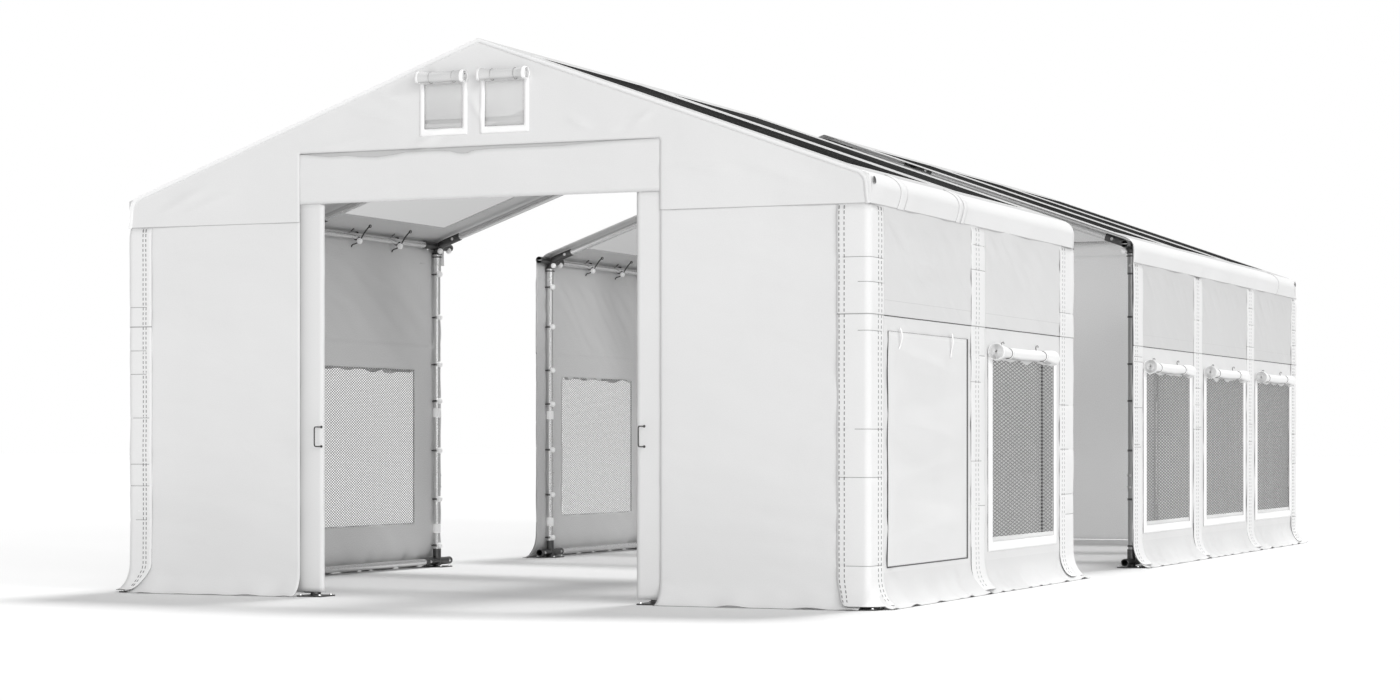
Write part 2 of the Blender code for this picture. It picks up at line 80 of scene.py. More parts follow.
# Steel: tube and sleeve radii, and the axes that they lie on
TUBE_R = 0.025
SLEEVE_R = 0.0295
RAIL_SLEEVE_R = 0.0287
POST_X = SIDE_X - 3 * LAYER - SLEEVE_R
END_FRAME_Y = END_Y - 3 * LAYER - SLEEVE_R
AXIS_RIDGE_Z = RIDGE_Z - (2 * LAYER + SLEEVE_R) / SLOPE_COS
AXIS_EAVE_Z = AXIS_RIDGE_Z - SLOPE * POST_X
SLEEVE_REACH = 0.21
NOSE = 0.012
BORE_R = 0.0235
BORE_DEPTH = 0.16
BALL_R = 0.0225
HOOK_Z = 2.417
FOOT_REACH = 0.20
GROUND_BAR_Z = 0.045
FOOT_TOP = 0.14
FOOT_SOCKET_R = 0.031
POST_SLEEVE_Z = 2.24
COLLAR_Z = 2.906
DOOR_POST_X = 1.155

# Heights of the fabric's edges
VALANCE_Z = 2.318
WALL_TOP_Z = 2.46
LAP_Z = 1.692
# Widths of the painted shade along the valances' lower edges and of the painted shadow under the lap
HEM_SHADE = 0.0045
LAP_SHADOW = 0.0065
WALL_INSET = 0.035

# Openings
SKYLIGHT_X = (0.26, 2.27)
SKYLIGHT_FROM_FRAME = 0.24
WINDOW_HALF = 0.70
WINDOW_Z = (0.345, 1.50)
GABLE_WINDOWS = ((-0.236, 0.263), (0.178, 0.265))
GABLE_WINDOW_Z = (2.858, 3.13)
GABLE_ROLL_X = (-0.227, 0.190)
HEADER_Z = (2.43, 2.78)
NOTCH_Z = 2.744


class Place(Enum):
    """Place on the tent, by the sign of an axis."""

    @property
    def label(self) -> str:
        """Its name, as in the nodes' names."""
        return self.name.lower()


class Side(Place):
    """The two long sides, by the sign of X."""
    LEFT = -1
    RIGHT = 1


class End(Place):
    """The two gable ends, by the sign of Y."""
    FRONT = -1
    REAR = 1


class Grow(Enum):
    """Which way a sheet's thickness goes from the surface that is drawn."""
    INWARDS = -1
    BOTH = 0


# Doorway, as distances from the tent's middle: edge of the end wall, edges of the jamb strips
WALL_INNER = {Side.LEFT: 1.246, Side.RIGHT: 1.196}
JAMB_INNER = {Side.LEFT: 1.08, Side.RIGHT: 1.04}
JAMB_OUTER = {Side.LEFT: 1.27, Side.RIGHT: 1.22}


# Shapes


def unit(vector: Array) -> Array:
    """Vector of length one along the given one."""
    return np.asarray(vector, float) / np.linalg.norm(vector)


def spread(marks: list[float], step: float) -> Array:
    """Places that hit every mark with no gap longer than a step.

    Args:
        marks: rising places that have to be met exactly.
        step: longest gap, in metres.

    Returns:
        Rising array of places.
    """
    parts = [np.linspace(low, high, max(1, math.ceil((high - low) / step - 1e-6)) + 1)[:-1]
             for low, high in zip(marks[:-1], marks[1:])]
    return np.concatenate([*parts, [marks[-1]]])


def sheet_grid(across: list[float], up: list[float], step: float,
               drop: float | None = None) -> tuple[Array, Array]:
    """Grid over a sheet that hits every mark, its top row first.

    Args:
        across, up: rising marks.
        step: longest gap across.
        drop: longest gap up; the same by default.

    Returns:
        Places across and heights, rows by columns each.
    """
    return tuple(np.meshgrid(spread(across, step), spread(up, drop or step)[::-1]))


def ripples(across: Array, up: Array, seed: int, length: float, lean: float,
            spread_angle: float = 0.25, waves: int = 9) -> Array:
    """Soft uneven waves of cloth, about -1 to 1.

    The field is the sum of sine waves sin(2 pi (u cos a + v sin a) / w + p), whose directions a
    gather round one lean and whose lengths w gather round one length.

    Args:
        across, up: coordinates on the cloth, in metres.
        seed: makes the draw repeatable.
        length: usual distance between crests.
        lean: direction in which the waves follow each other, in radians.
        spread_angle: how far the directions stray from the lean.
        waves: how many sine waves are summed.

    Returns:
        Array shaped like the coordinates.
    """
    draw = np.random.default_rng(seed)
    angle = lean + draw.normal(0, spread_angle, waves)
    wave = length * draw.uniform(0.6, 1.7, waves)
    phase = draw.uniform(0, TURN, waves)
    reach = across[..., None] * np.cos(angle) + up[..., None] * np.sin(angle)
    return np.sin(TURN * reach / wave + phase).sum(-1) / math.sqrt(waves)


def crease(across: Array, up: Array, start: Pair, end: Pair,
           width: float, height: float) -> Array:
    """Rounded fold between two points of the cloth.

    Its section is a bell curve exp(-(d / width)^2), and it fades in and out along its length as
    a raised cosine.

    Args:
        across, up: coordinates on the cloth.
        start, end: ends of the fold on the cloth.
        width: half width of the bell.
        height: height of the crest, negative for a hollow.

    Returns:
        Height of the fold at every point.
    """
    run = np.subtract(end, start)
    length = np.linalg.norm(run)
    along = ((across - start[0]) * run[0] + (up - start[1]) * run[1]) / length ** 2
    off = ((across - start[0]) * run[1] - (up - start[1]) * run[0]) / length
    fade = np.where((along > 0) & (along < 1), 0.5 - 0.5 * np.cos(TURN * along), 0.0)
    return height * fade * np.exp(-(off / width) ** 2)


def xyz(x: Array | float, y: Array | float, z: Array | float) -> Array:
    """Points from their coordinates, each an array or one number for all."""
    return np.stack(np.broadcast_arrays(x, y, z), -1)


def ramp(value: Array, low: float, high: float) -> Array:
    """Smooth step from 0 at low to 1 at high.

    Args:
        value: where the step is read.
        low, high: where it starts and ends.

    Returns:
        Share shaped like the value.
    """
    share = np.clip((value - low) / (high - low), 0, 1)
    return share * share * (3 - 2 * share)


def roof_height(x: Array | float) -> Array | float:
    """Height of the roof cloth at a distance from the ridge."""
    return ROOF_RIDGE_Z - (ROOF_RIDGE_Z - ROOF_EAVE_Z) * x / SIDE_X


@dataclass
class Shell:
    """Gridded surfaces gathered into one mesh, with a cloth coordinate and a shade for each point."""
    points: list[Array] = field(default_factory=list)
    cloth: list[Array] = field(default_factory=list)
    shade: list[Array] = field(default_factory=list)
    quads: list[Array] = field(default_factory=list)
    finish: list[Array] = field(default_factory=list)
    size: int = 0

    def add(self, points: Array, keep: Array | None = None, ring: bool = False,
            cloth: tuple[Array, Array] | None = None, shade: Array | float = 0.0,
            finish: Array | int = 0) -> "Shell":
        """Add a grid of points as quads.

        Args:
            points: rows by columns by 3.
            keep: which quads stay, rows - 1 by columns - 1.
            ring: the last column joins the first one.
            cloth: places across and down the flat cloth; the arc lengths by default.
            shade: darker mark, 0 to 1.
            finish: number of the finish, or one for each quad.

        Returns:
            The shell itself.
        """
        rows, cols = points.shape[:2]
        index = np.arange(rows * cols).reshape(rows, cols) + self.size
        if ring:
            index = np.hstack([index, index[:, :1]])
        quads = np.stack([index[:-1, :-1], index[:-1, 1:], index[1:, 1:], index[1:, :-1]], -1)
        numbers = np.broadcast_to(np.asarray(finish, int), quads.shape[:2])
        if keep is not None:
            quads, numbers = quads[keep], numbers[keep]
        if cloth is None:
            steps = [np.linalg.norm(np.diff(points, axis=axis), axis=-1).mean(1 - axis)
                     for axis in (0, 1)]
            down, over = (np.concatenate([[0.0], np.cumsum(step)]) for step in steps)
            cloth = np.meshgrid(over, down)
        self.points.append(points.reshape(-1, 3))
        self.cloth.append(np.pad(np.stack(cloth, -1).reshape(-1, 2), ((0, 0), (0, 1))))
        self.shade.append(np.broadcast_to(np.asarray(shade, float), (rows, cols)).reshape(-1))
        self.quads.append(quads.reshape(-1, 4))
        self.finish.append(numbers.reshape(-1))
        self.size += rows * cols
        return self

    def build(self, name: str, finishes: list[Material],
              outward: Point | None = None, wall: float = 0.0,
              grow: Grow = Grow.INWARDS, back: Material | None = None,
              edge: Material | list[Material] | None = None,
              sharp: float = 40.0) -> Thing:
        """Make the object.

        Args:
            name: name of the piece.
            finishes: materials, in the order of the finish numbers.
            outward: side that an open sheet faces; a closed shell needs none.
            wall: thickness given to an open sheet.
            grow: which way the thickness goes.
            back: material of the inner side.
            edge: material of the cut edges, or one for each finish.
            sharp: edges bent by more than this many degrees stay sharp.

        Returns:
            The object, at the origin.
        """
        mesh = bpy.data.meshes.new(name)
        mesh.from_pydata(np.concatenate(self.points).tolist(), [],
                         np.concatenate(self.quads).tolist())
        mesh.polygons.foreach_set("material_index", np.concatenate(self.finish).astype(np.int32))
        places = mesh.attributes.new("cloth", "FLOAT_VECTOR", "POINT")
        places.data.foreach_set("vector", np.concatenate(self.cloth).astype(np.float32).ravel())
        marks = mesh.attributes.new("shade", "FLOAT", "POINT")
        marks.data.foreach_set("value", np.concatenate(self.shade).astype(np.float32))
        work = bmesh.new()
        work.from_mesh(mesh)
        bmesh.ops.remove_doubles(work, verts=work.verts, dist=0.00002)
        loose = [point for point in work.verts if not point.link_faces]
        bmesh.ops.delete(work, geom=loose, context="VERTS")
        if outward is None:
            bmesh.ops.recalc_face_normals(work, faces=work.faces)
        else:
            work.normal_update()
            facing = sum(face.normal.dot(outward) * face.calc_area() for face in work.faces)
            if facing < 0:
                bmesh.ops.reverse_faces(work, faces=work.faces)
        work.to_mesh(mesh)
        work.free()
        mesh.shade_smooth()
        mesh.set_sharp_from_angle(angle=math.radians(sharp))
        edges = edge if isinstance(edge, list) else [edge or finish for finish in finishes]
        for finish in [*finishes, *[back] * len(finishes), *edges] if back else finishes:
            mesh.materials.append(finish)
        thing = bpy.data.objects.new(name, mesh)
        bpy.context.scene.collection.objects.link(thing)
        if wall:
            cloth = thing.modifiers.new("thickness", "SOLIDIFY")
            cloth.thickness = wall
            cloth.offset = float(grow.value)
            cloth.use_even_offset = True
            if back:
                cloth.material_offset = len(finishes)
                cloth.material_offset_rim = 2 * len(finishes)
        return thing


def basis(along: Array) -> tuple[Array, Array]:
    """Two unit vectors square to a direction and to each other.

    Args:
        along: the direction.

    Returns:
        Both vectors.
    """
    reference = np.array((0.0, 0.0, 1.0)) if abs(along[2]) < 0.9 else np.array((1.0, 0.0, 0.0))
    first = unit(np.cross(reference, along))
    return first, np.cross(along, first)


def lathe(shell: Shell, profile: list[Pair], start: Point,
          along: Point, sides: int = 20, finish: int = 0) -> None:
    """Turn a profile of (radius, distance) round a straight axis.

    A point is start + d * axis + r * (cos a * n1 + sin a * n2).

    Args:
        shell: takes the surface.
        profile: radius of each ring and its distance along the axis.
        start: where the distance is 0.
        along: direction of the axis.
        sides: number of sides of each ring.
        finish: number of the finish.
    """
    rows = np.asarray(profile, float)
    axis = unit(along)
    first, second = basis(axis)
    angle = np.arange(sides) * TURN / sides
    circle = np.cos(angle)[:, None] * first + np.sin(angle)[:, None] * second
    points = np.asarray(start, float) + rows[:, 1, None, None] * axis + rows[:, 0, None, None] * circle
    shell.add(points, ring=True, finish=finish)


def tube(shell: Shell, start: Point, end: Point,
         radius: float, sides: int = 20, finish: int = 0, chamfer: float = 0.0015) -> None:
    """Round bar with lightly broken ends between two points.

    Args:
        shell: takes the bar.
        start, end: middles of its ends.
        radius: of the bar.
        sides: number of sides.
        finish: number of the finish.
        chamfer: size of the broken edge.
    """
    run = np.subtract(end, start)
    length = float(np.linalg.norm(run))
    lathe(shell, [(0, 0), (radius - chamfer, 0), (radius, chamfer), (radius, length - chamfer),
                  (radius - chamfer, length), (0, length)], start, run, sides, finish)


def open_sleeve(shell: Shell, start: Point, along: Point,
                length: float, radius: float, bore: float, depth: float, finish: int = 0) -> None:
    """Sleeve whose far end is an empty socket of the given bore and depth.

    Args:
        shell: takes the sleeve.
        start, along: closed end and direction.
        length, radius: outer size.
        bore, depth: size of the socket.
        finish: number of the finish.
    """
    lip = 0.001
    lathe(shell, [(0, 0), (radius, 0), (radius, length - lip), (radius - lip, length),
                  (bore + lip, length), (bore, length - lip), (bore, length - depth),
                  (0, length - depth)], start, along, 24, finish)


def sweep(shell: Shell, path: Array, radius: Array | float, normal: Point,
          sides: int = 8, loop: bool = False, finish: int = 0) -> None:
    """Round section carried along a path that lies in one plane.

    A point is c + r * (cos a * n + sin a * (t x n)), where t runs along the path and n is the
    plane's normal. The ends close in a point unless the path is a loop.

    Args:
        shell: takes the surface.
        path: points of the middle line.
        radius: of the section, one for all or one for each point.
        normal: of the path's plane.
        sides: number of sides.
        loop: the path closes on itself.
        finish: number of the finish.
    """
    path = np.asarray(path, float)
    if loop:
        tangent = np.roll(path, -1, 0) - np.roll(path, 1, 0)
    else:
        tangent = np.gradient(path, axis=0)
    tangent /= np.linalg.norm(tangent, axis=1)[:, None]
    first = np.broadcast_to(unit(normal), path.shape)
    second = np.cross(tangent, first)
    angle = np.arange(sides) * TURN / sides
    reach = np.broadcast_to(np.asarray(radius, float), len(path))[:, None, None]
    points = path[:, None] + reach * (np.cos(angle)[None, :, None] * first[:, None]
                                      + np.sin(angle)[None, :, None] * second[:, None])
    if loop:
        points = np.concatenate([points, points[:1]])
    else:
        tips = [np.repeat(path[end][None, None], sides, 1) for end in (0, -1)]
        points = np.concatenate([tips[0], points, tips[1]])
    shell.add(points, ring=True, finish=finish)


def bolt(shell: Shell, centre: Point, axis: Point,
         size: float = 0.0085, finish: int = 0) -> None:
    """Hexagon head on its washer; centre lies on the surface that it presses.

    Args:
        shell: takes the bolt.
        centre, axis: seat and direction of the head.
        size: half the width of the head.
        finish: number of the finish.
    """
    lathe(shell, [(0, -0.002), (1.4 * size, -0.002), (1.4 * size, 0.002), (0, 0.002)],
          centre, axis, 14, finish)
    lathe(shell, [(0, 0.001), (size, 0.001), (size, 0.0068), (0.82 * size, 0.0085), (0, 0.0085)],
          centre, axis, 6, finish)


def ball(shell: Shell, centre: Point, radius: float, finish: int = 0) -> None:
    """Ball turned from a half circle.

    Args:
        shell: takes the ball.
        centre, radius: place and size.
        finish: number of the finish.
    """
    angle = np.linspace(0, math.pi, 9)
    profile = np.stack([radius * np.sin(angle), -radius * np.cos(angle)], -1)
    profile[[0, -1], 0] = 0
    lathe(shell, profile, centre, (0, 0, 1), 14, finish)


def rounded_plate(shell: Shell, centre: Pair, half: Pair,
                  heights: Pair, corner: float, finish: int = 0) -> None:
    """Flat plate on the ground with round corners and a broken upper edge.

    Args:
        shell: takes the plate.
        centre, half: middle and half sizes.
        heights: lower and upper side.
        corner: radius of the corners.
        finish: number of the finish.
    """
    bevel = 0.0015
    steps = np.arange(5) * math.pi / 8
    angle = np.concatenate([quarter * math.pi / 2 + steps for quarter in range(4)])
    signs = np.repeat([(1, 1), (-1, 1), (-1, -1), (1, -1)], 5, axis=0)
    middle = np.asarray(centre) + signs * (np.asarray(half) - corner)
    rows = []
    for inset, height in ((None, heights[0]), (0.0, heights[0]), (0.0, heights[1] - bevel),
                          (bevel, heights[1]), (None, heights[1])):
        if inset is None:
            flat = np.broadcast_to(np.asarray(centre, float), middle.shape)
        else:
            flat = middle + (corner - inset) * np.stack([np.cos(angle), np.sin(angle)], -1)
        rows.append(np.column_stack([flat, np.full(len(flat), height)]))
    shell.add(np.stack(rows), ring=True, finish=finish)


def hoop(shell: Shell, centre: Point, radius: float, thick: float, steps: int) -> None:
    """Level ring of dark cord: centre + r * (cos a, sin a, 0).

    Args:
        shell: takes the ring.
        centre, radius: place and size.
        thick: radius of the cord.
        steps: number of points round the ring.
    """
    angle = np.arange(steps) * TURN / steps
    ring = xyz(centre[0] + radius * np.cos(angle), centre[1] + radius * np.sin(angle), centre[2])
    sweep(shell, ring, thick, (0, 0, 1), 6, True, 1)


def rounded_path(corners: list[Point], radius: float, steps: int = 7) -> Array:
    """Path through corners with each inner corner turned into an arc.

    The arc is the quadratic curve (1-t)^2 a + 2t(1-t) c + t^2 b, which starts and ends one radius
    from the corner.

    Args:
        corners: ends and corners of the path.
        radius: reach of each arc.
        steps: points on an arc.

    Returns:
        Points of the path.
    """
    points = [np.asarray(corner, float) for corner in corners]
    share = np.linspace(0, 1, steps)[:, None]
    path = [points[0][None]]
    for before, corner, after in zip(points[:-2], points[1:-1], points[2:]):
        near = corner + unit(before - corner) * radius
        far = corner + unit(after - corner) * radius
        path.append((1 - share) ** 2 * near + 2 * share * (1 - share) * corner + share ** 2 * far)
    path.append(points[-1][None])
    return np.concatenate(path)


# Materials


@dataclass
class Board:
    """A node tree while it is being filled."""
    tree: Tree

    def wire(self, node: Node, wires: dict) -> None:
        """Set a node's inputs.

        Args:
            node: the node.
            wires: input name or number to a value, or to the socket that feeds it.
        """
        for key, value in wires.items():
            if isinstance(value, Socket):
                self.tree.links.new(value, node.inputs[key])
            else:
                node.inputs[key].default_value = value

    def node(self, kind: str, wires: dict | None = None, **settings: object) -> Node:
        """Add a node.

        Args:
            kind: node type without its ShaderNode prefix.
            wires: what its inputs get, as for wire.
            settings: properties of the node.

        Returns:
            The new node.
        """
        made = self.tree.nodes.new("ShaderNode" + kind)
        for key, value in settings.items():
            setattr(made, key, value)
        self.wire(made, wires or {})
        return made

    def effect(self, tree: Tree, **wires: object) -> Node:
        """Shared effect placed with its own values."""
        return self.node("Group", wires, node_tree=tree)

    def math(self, operation: str, *values: object) -> Socket:
        """Result of a Math node."""
        return self.node("Math", dict(enumerate(values)), operation=operation).outputs[0]

    def fit(self, value: Socket, new: Pair, old: Pair = NOISE_SPAN) -> Socket:
        """Value moved from an old range into a new one, held inside it."""
        return self.node("MapRange", {"Value": value, "From Min": old[0], "From Max": old[1],
                                      "To Min": new[0], "To Max": new[1]}).outputs[0]

    def blend(self, share: object, first: object, second: object) -> Socket:
        """Colour between two colours."""
        return self.node("Mix", {0: share, 6: first, 7: second}, data_type="RGBA").outputs[2]


def grey(level: float) -> tuple[float, float, float, float]:
    """Neutral colour."""
    return (level, level, level, 1.0)


class Effects:
    """Node groups that several materials share."""

    def __init__(self) -> None:
        """Build each group once."""
        self.weave = self.group("cloth_weave", "Pitch", ["Height", "Fleck"], self.fill_weave)
        self.folds = self.group("soft_folds", "Scale", ["Height", "Tone"], self.fill_folds)
        self.zinc = self.group("zinc_bloom", "Scale", ["Tone", "Rough", "Height"], self.fill_zinc)

    @staticmethod
    def group(name: str, number: str, outputs: list[str],
              fill: Callable[[Board, Socket, Socket], dict]) -> Tree:
        """Node group with a place and a number going in.

        Args:
            name: name of the group.
            number: name of the number that goes in.
            outputs: number sockets that it puts out.
            fill: method that places the nodes and says what feeds each output.

        Returns:
            The group.
        """
        tree = bpy.data.node_groups.new(name, "ShaderNodeTree")
        tree.interface.new_socket("Vector", in_out="INPUT", socket_type="NodeSocketVector")
        tree.interface.new_socket(number, in_out="INPUT", socket_type="NodeSocketFloat")
        for label in outputs:
            tree.interface.new_socket(label, in_out="OUTPUT", socket_type="NodeSocketFloat")
        source, result = tree.nodes.new("NodeGroupInput"), tree.nodes.new("NodeGroupOutput")
        board = Board(tree)
        board.wire(result, fill(board, source.outputs["Vector"], source.outputs[number]))
        return tree

    @staticmethod
    def fill_weave(board: Board, place: Socket, pitch: Socket) -> dict:
        """Plain weave |sin u| against |sin v|, and a fine speckle from the threads.

        Args:
            board: the group's node tree.
            place: where the pattern is read.
            pitch: of the threads.

        Returns:
            What feeds each output.
        """
        parts = board.node("SeparateXYZ", {0: place})
        turn = board.math("DIVIDE", math.pi, pitch)
        warp, weft = [board.math("ABSOLUTE", board.math("SINE", board.math("MULTIPLY", part, turn)))
                      for part in parts.outputs[:2]]
        speckle = board.node("TexNoise", {"Vector": place, "Scale": 140.0, "Detail": 2.0,
                                          "Roughness": 0.6})
        return {"Height": board.math("MULTIPLY", warp, weft), "Fleck": speckle.outputs["Fac"]}

    @staticmethod
    def fill_folds(board: Board, place: Socket, scale: Socket) -> dict:
        """Slack of tensioned cloth: slow noise bent by itself, and a slower drift of tone.

        Args:
            board: the group's node tree.
            place: where the pattern is read.
            scale: of the pattern.

        Returns:
            What feeds each output.
        """
        slow = board.node("TexNoise", {"Vector": place, "Scale": scale, "Detail": 3.0,
                                       "Roughness": 0.45, "Distortion": 0.8})
        drift = board.node("TexNoise", {"Vector": place, "Scale": 0.9, "Detail": 2.0})
        return {"Height": slow.outputs["Fac"], "Tone": drift.outputs["Fac"]}

    @staticmethod
    def fill_zinc(board: Board, place: Socket, scale: Socket) -> dict:
        """Zinc crystals: cells of differing tone with a finer grain over them.

        Args:
            board: the group's node tree.
            place: where the pattern is read.
            scale: of the pattern.

        Returns:
            What feeds each output.
        """
        cells = board.node("TexVoronoi", {"Vector": place, "Scale": scale})
        tone = board.node("SeparateColor", {0: cells.outputs["Color"]}).outputs[0]
        grain = board.node("TexNoise", {"Vector": place, "Scale": 60.0, "Detail": 4.0}).outputs["Fac"]
        mixed = board.math("MULTIPLY_ADD", tone, 0.35, board.math("MULTIPLY", grain, 0.65))
        return {"Tone": mixed, "Rough": board.math("MULTIPLY_ADD", grain, 0.2, tone), "Height": grain}


def start_material(name: str) -> tuple[Material, Board, Node]:
    """New material with its board and its Principled shader.

    Args:
        name: name of the material.

    Returns:
        All three.
    """
    material = bpy.data.materials.new(name)
    material.use_nodes = True
    return material, Board(material.node_tree), material.node_tree.nodes["Principled BSDF"]


@dataclass(frozen=True)
class Cloth:
    """Coated fabric: its tone, weave and slack, and how much its marked parts darken."""
    name: str
    tone: float
    rough: float = 0.55
    pitch: float = 0.012
    weave: float = 0.05
    folds: float = 0.35
    fold_scale: float = 2.2
    fleck: float = 0.015
    drift: float = 0.02
    marked: float = 0.25
    # Emission that paints light onto a cloth that is no lamp
    glow: float = 0.0

    def make(self, effects: Effects) -> Material:
        """Build the material.

        Args:
            effects: the shared effects.

        Returns:
            The material.
        """
        material, board, shader = start_material(self.name)
        cloth = board.node("Attribute", attribute_name="cloth").outputs["Vector"]
        place = board.node("TexCoord").outputs["Object"]
        mark = board.node("Attribute", attribute_name="shade").outputs["Fac"]
        weave = board.effect(effects.weave, Vector=cloth, Pitch=self.pitch)
        folds = board.effect(effects.folds, Vector=place, Scale=self.fold_scale)
        speckle = board.fit(weave.outputs["Fleck"], (-self.fleck, self.fleck))
        drift = board.fit(folds.outputs["Tone"], (-self.drift, self.drift))
        light = board.math("ADD", board.math("ADD", speckle, drift), 1.0)
        base = board.blend(mark, grey(self.tone), grey(self.tone * (1 - self.marked)))
        colour = board.node("VectorMath", {0: base, "Scale": light}, operation="SCALE").outputs[0]
        slack = board.node("Bump", {"Strength": self.folds, "Distance": 0.02,
                                    "Height": folds.outputs["Height"]})
        threads = board.node("Bump", {"Strength": self.weave, "Distance": 0.001,
                                      "Height": weave.outputs["Height"], "Normal": slack.outputs[0]})
        rough = board.fit(weave.outputs["Fleck"], (self.rough - 0.06, self.rough + 0.06))
        board.wire(shader, {"Base Color": colour, "Roughness": rough, "Normal": threads.outputs[0],
                            "Sheen Weight": 0.08, "Specular IOR Level": 0.35,
                            "Emission Color": colour, "Emission Strength": self.glow})
        return material


@dataclass(frozen=True)
class Net:
    """Window net: diamond mesh of threads with open cells between them."""
    name: str
    tone: float = 0.21
    wide: float = 0.048
    high: float = 0.020

    def make(self, effects: Effects) -> Material:
        """Build the material.

        Args:
            effects: the shared effects.

        Returns:
            The material.
        """
        material, board, shader = start_material(self.name)
        cloth = board.node("Attribute", attribute_name="cloth").outputs["Vector"]
        parts = board.node("SeparateXYZ", {0: cloth})
        across, up = [board.math("MULTIPLY", parts.outputs[axis], math.pi / size)
                      for axis, size in enumerate((self.wide, self.high))]
        waves = [board.math("ABSOLUTE", board.math("SINE", board.math(way, across, up)))
                 for way in ("ADD", "SUBTRACT")]
        thread = board.fit(board.math("MINIMUM", *waves), (1.0, 0.0), (0.40, 0.58))
        weave = board.effect(effects.weave, Vector=cloth, Pitch=0.004)
        bump = board.node("Bump", {"Strength": 0.4, "Distance": 0.002, "Height": thread})
        tone = board.blend(thread, grey(self.tone * 0.8), grey(self.tone * 1.15))
        board.wire(shader, {"Base Color": tone, "Alpha": board.math("MULTIPLY", thread, 0.97),
                            "Roughness": board.fit(weave.outputs["Fleck"], (0.6, 0.8)),
                            "Normal": bump.outputs[0]})
        return material


@dataclass(frozen=True)
class Foil:
    """Clear foil: the flatter the view, the less shows through it, as a power of 1 - cos."""
    name: str
    tone: float = 0.03
    clear: float = 0.02
    shading: float = 0.25
    fade: float = 8.5
    gloss: float = 0.0

    def make(self, effects: Effects) -> Material:
        """Build the material.

        Args:
            effects: the shared effects.

        Returns:
            The material.
        """
        material, board, shader = start_material(self.name)
        place = board.node("TexCoord").outputs["Object"]
        folds = board.effect(effects.folds, Vector=place, Scale=3.0)
        facing = board.node("LayerWeight", {"Blend": 0.5}).outputs["Facing"]
        graze = board.fit(board.math("POWER", facing, self.fade), (self.clear, 1.0), (0.0, 1.0))
        shadow = board.math("MULTIPLY", board.node("LightPath").outputs["Is Shadow Ray"], self.shading)
        bump = board.node("Bump", {"Strength": 0.15, "Distance": 0.01,
                                   "Height": folds.outputs["Height"]})
        tone = board.fit(folds.outputs["Tone"], (self.tone * 0.7, self.tone * 1.3))
        board.wire(shader, {"Base Color": tone, "Alpha": board.math("MAXIMUM", graze, shadow),
                            "Roughness": board.fit(folds.outputs["Height"], (0.12, 0.28)),
                            "Normal": bump.outputs[0], "Specular IOR Level": self.gloss})
        return material


@dataclass(frozen=True)
class Metal:
    """Steel or zinc: its tone, and how rough and how uneven its surface is."""
    name: str
    tone: float
    rough: float
    unevenness: float = 0.08
    bump: float = 0.0

    def make(self, effects: Effects) -> Material:
        """Build the material.

        Args:
            effects: the shared effects.

        Returns:
            The material.
        """
        material, board, shader = start_material(self.name)
        place = board.node("TexCoord").outputs["Object"]
        zinc = board.effect(effects.zinc, Vector=place, Scale=30.0)
        low, high = 1 - self.unevenness, 1 + self.unevenness
        tone = board.fit(zinc.outputs["Tone"], (self.tone * low, self.tone * high), (0.2, 0.8))
        rough = board.fit(zinc.outputs["Rough"], (self.rough * low, self.rough * high), (0.0, 1.2))
        bump = board.node("Bump", {"Strength": self.bump, "Distance": 0.001,
                                   "Height": zinc.outputs["Height"]})
        board.wire(shader, {"Base Color": tone, "Roughness": rough, "Normal": bump.outputs[0],
                            "Metallic": 1.0})
        return material


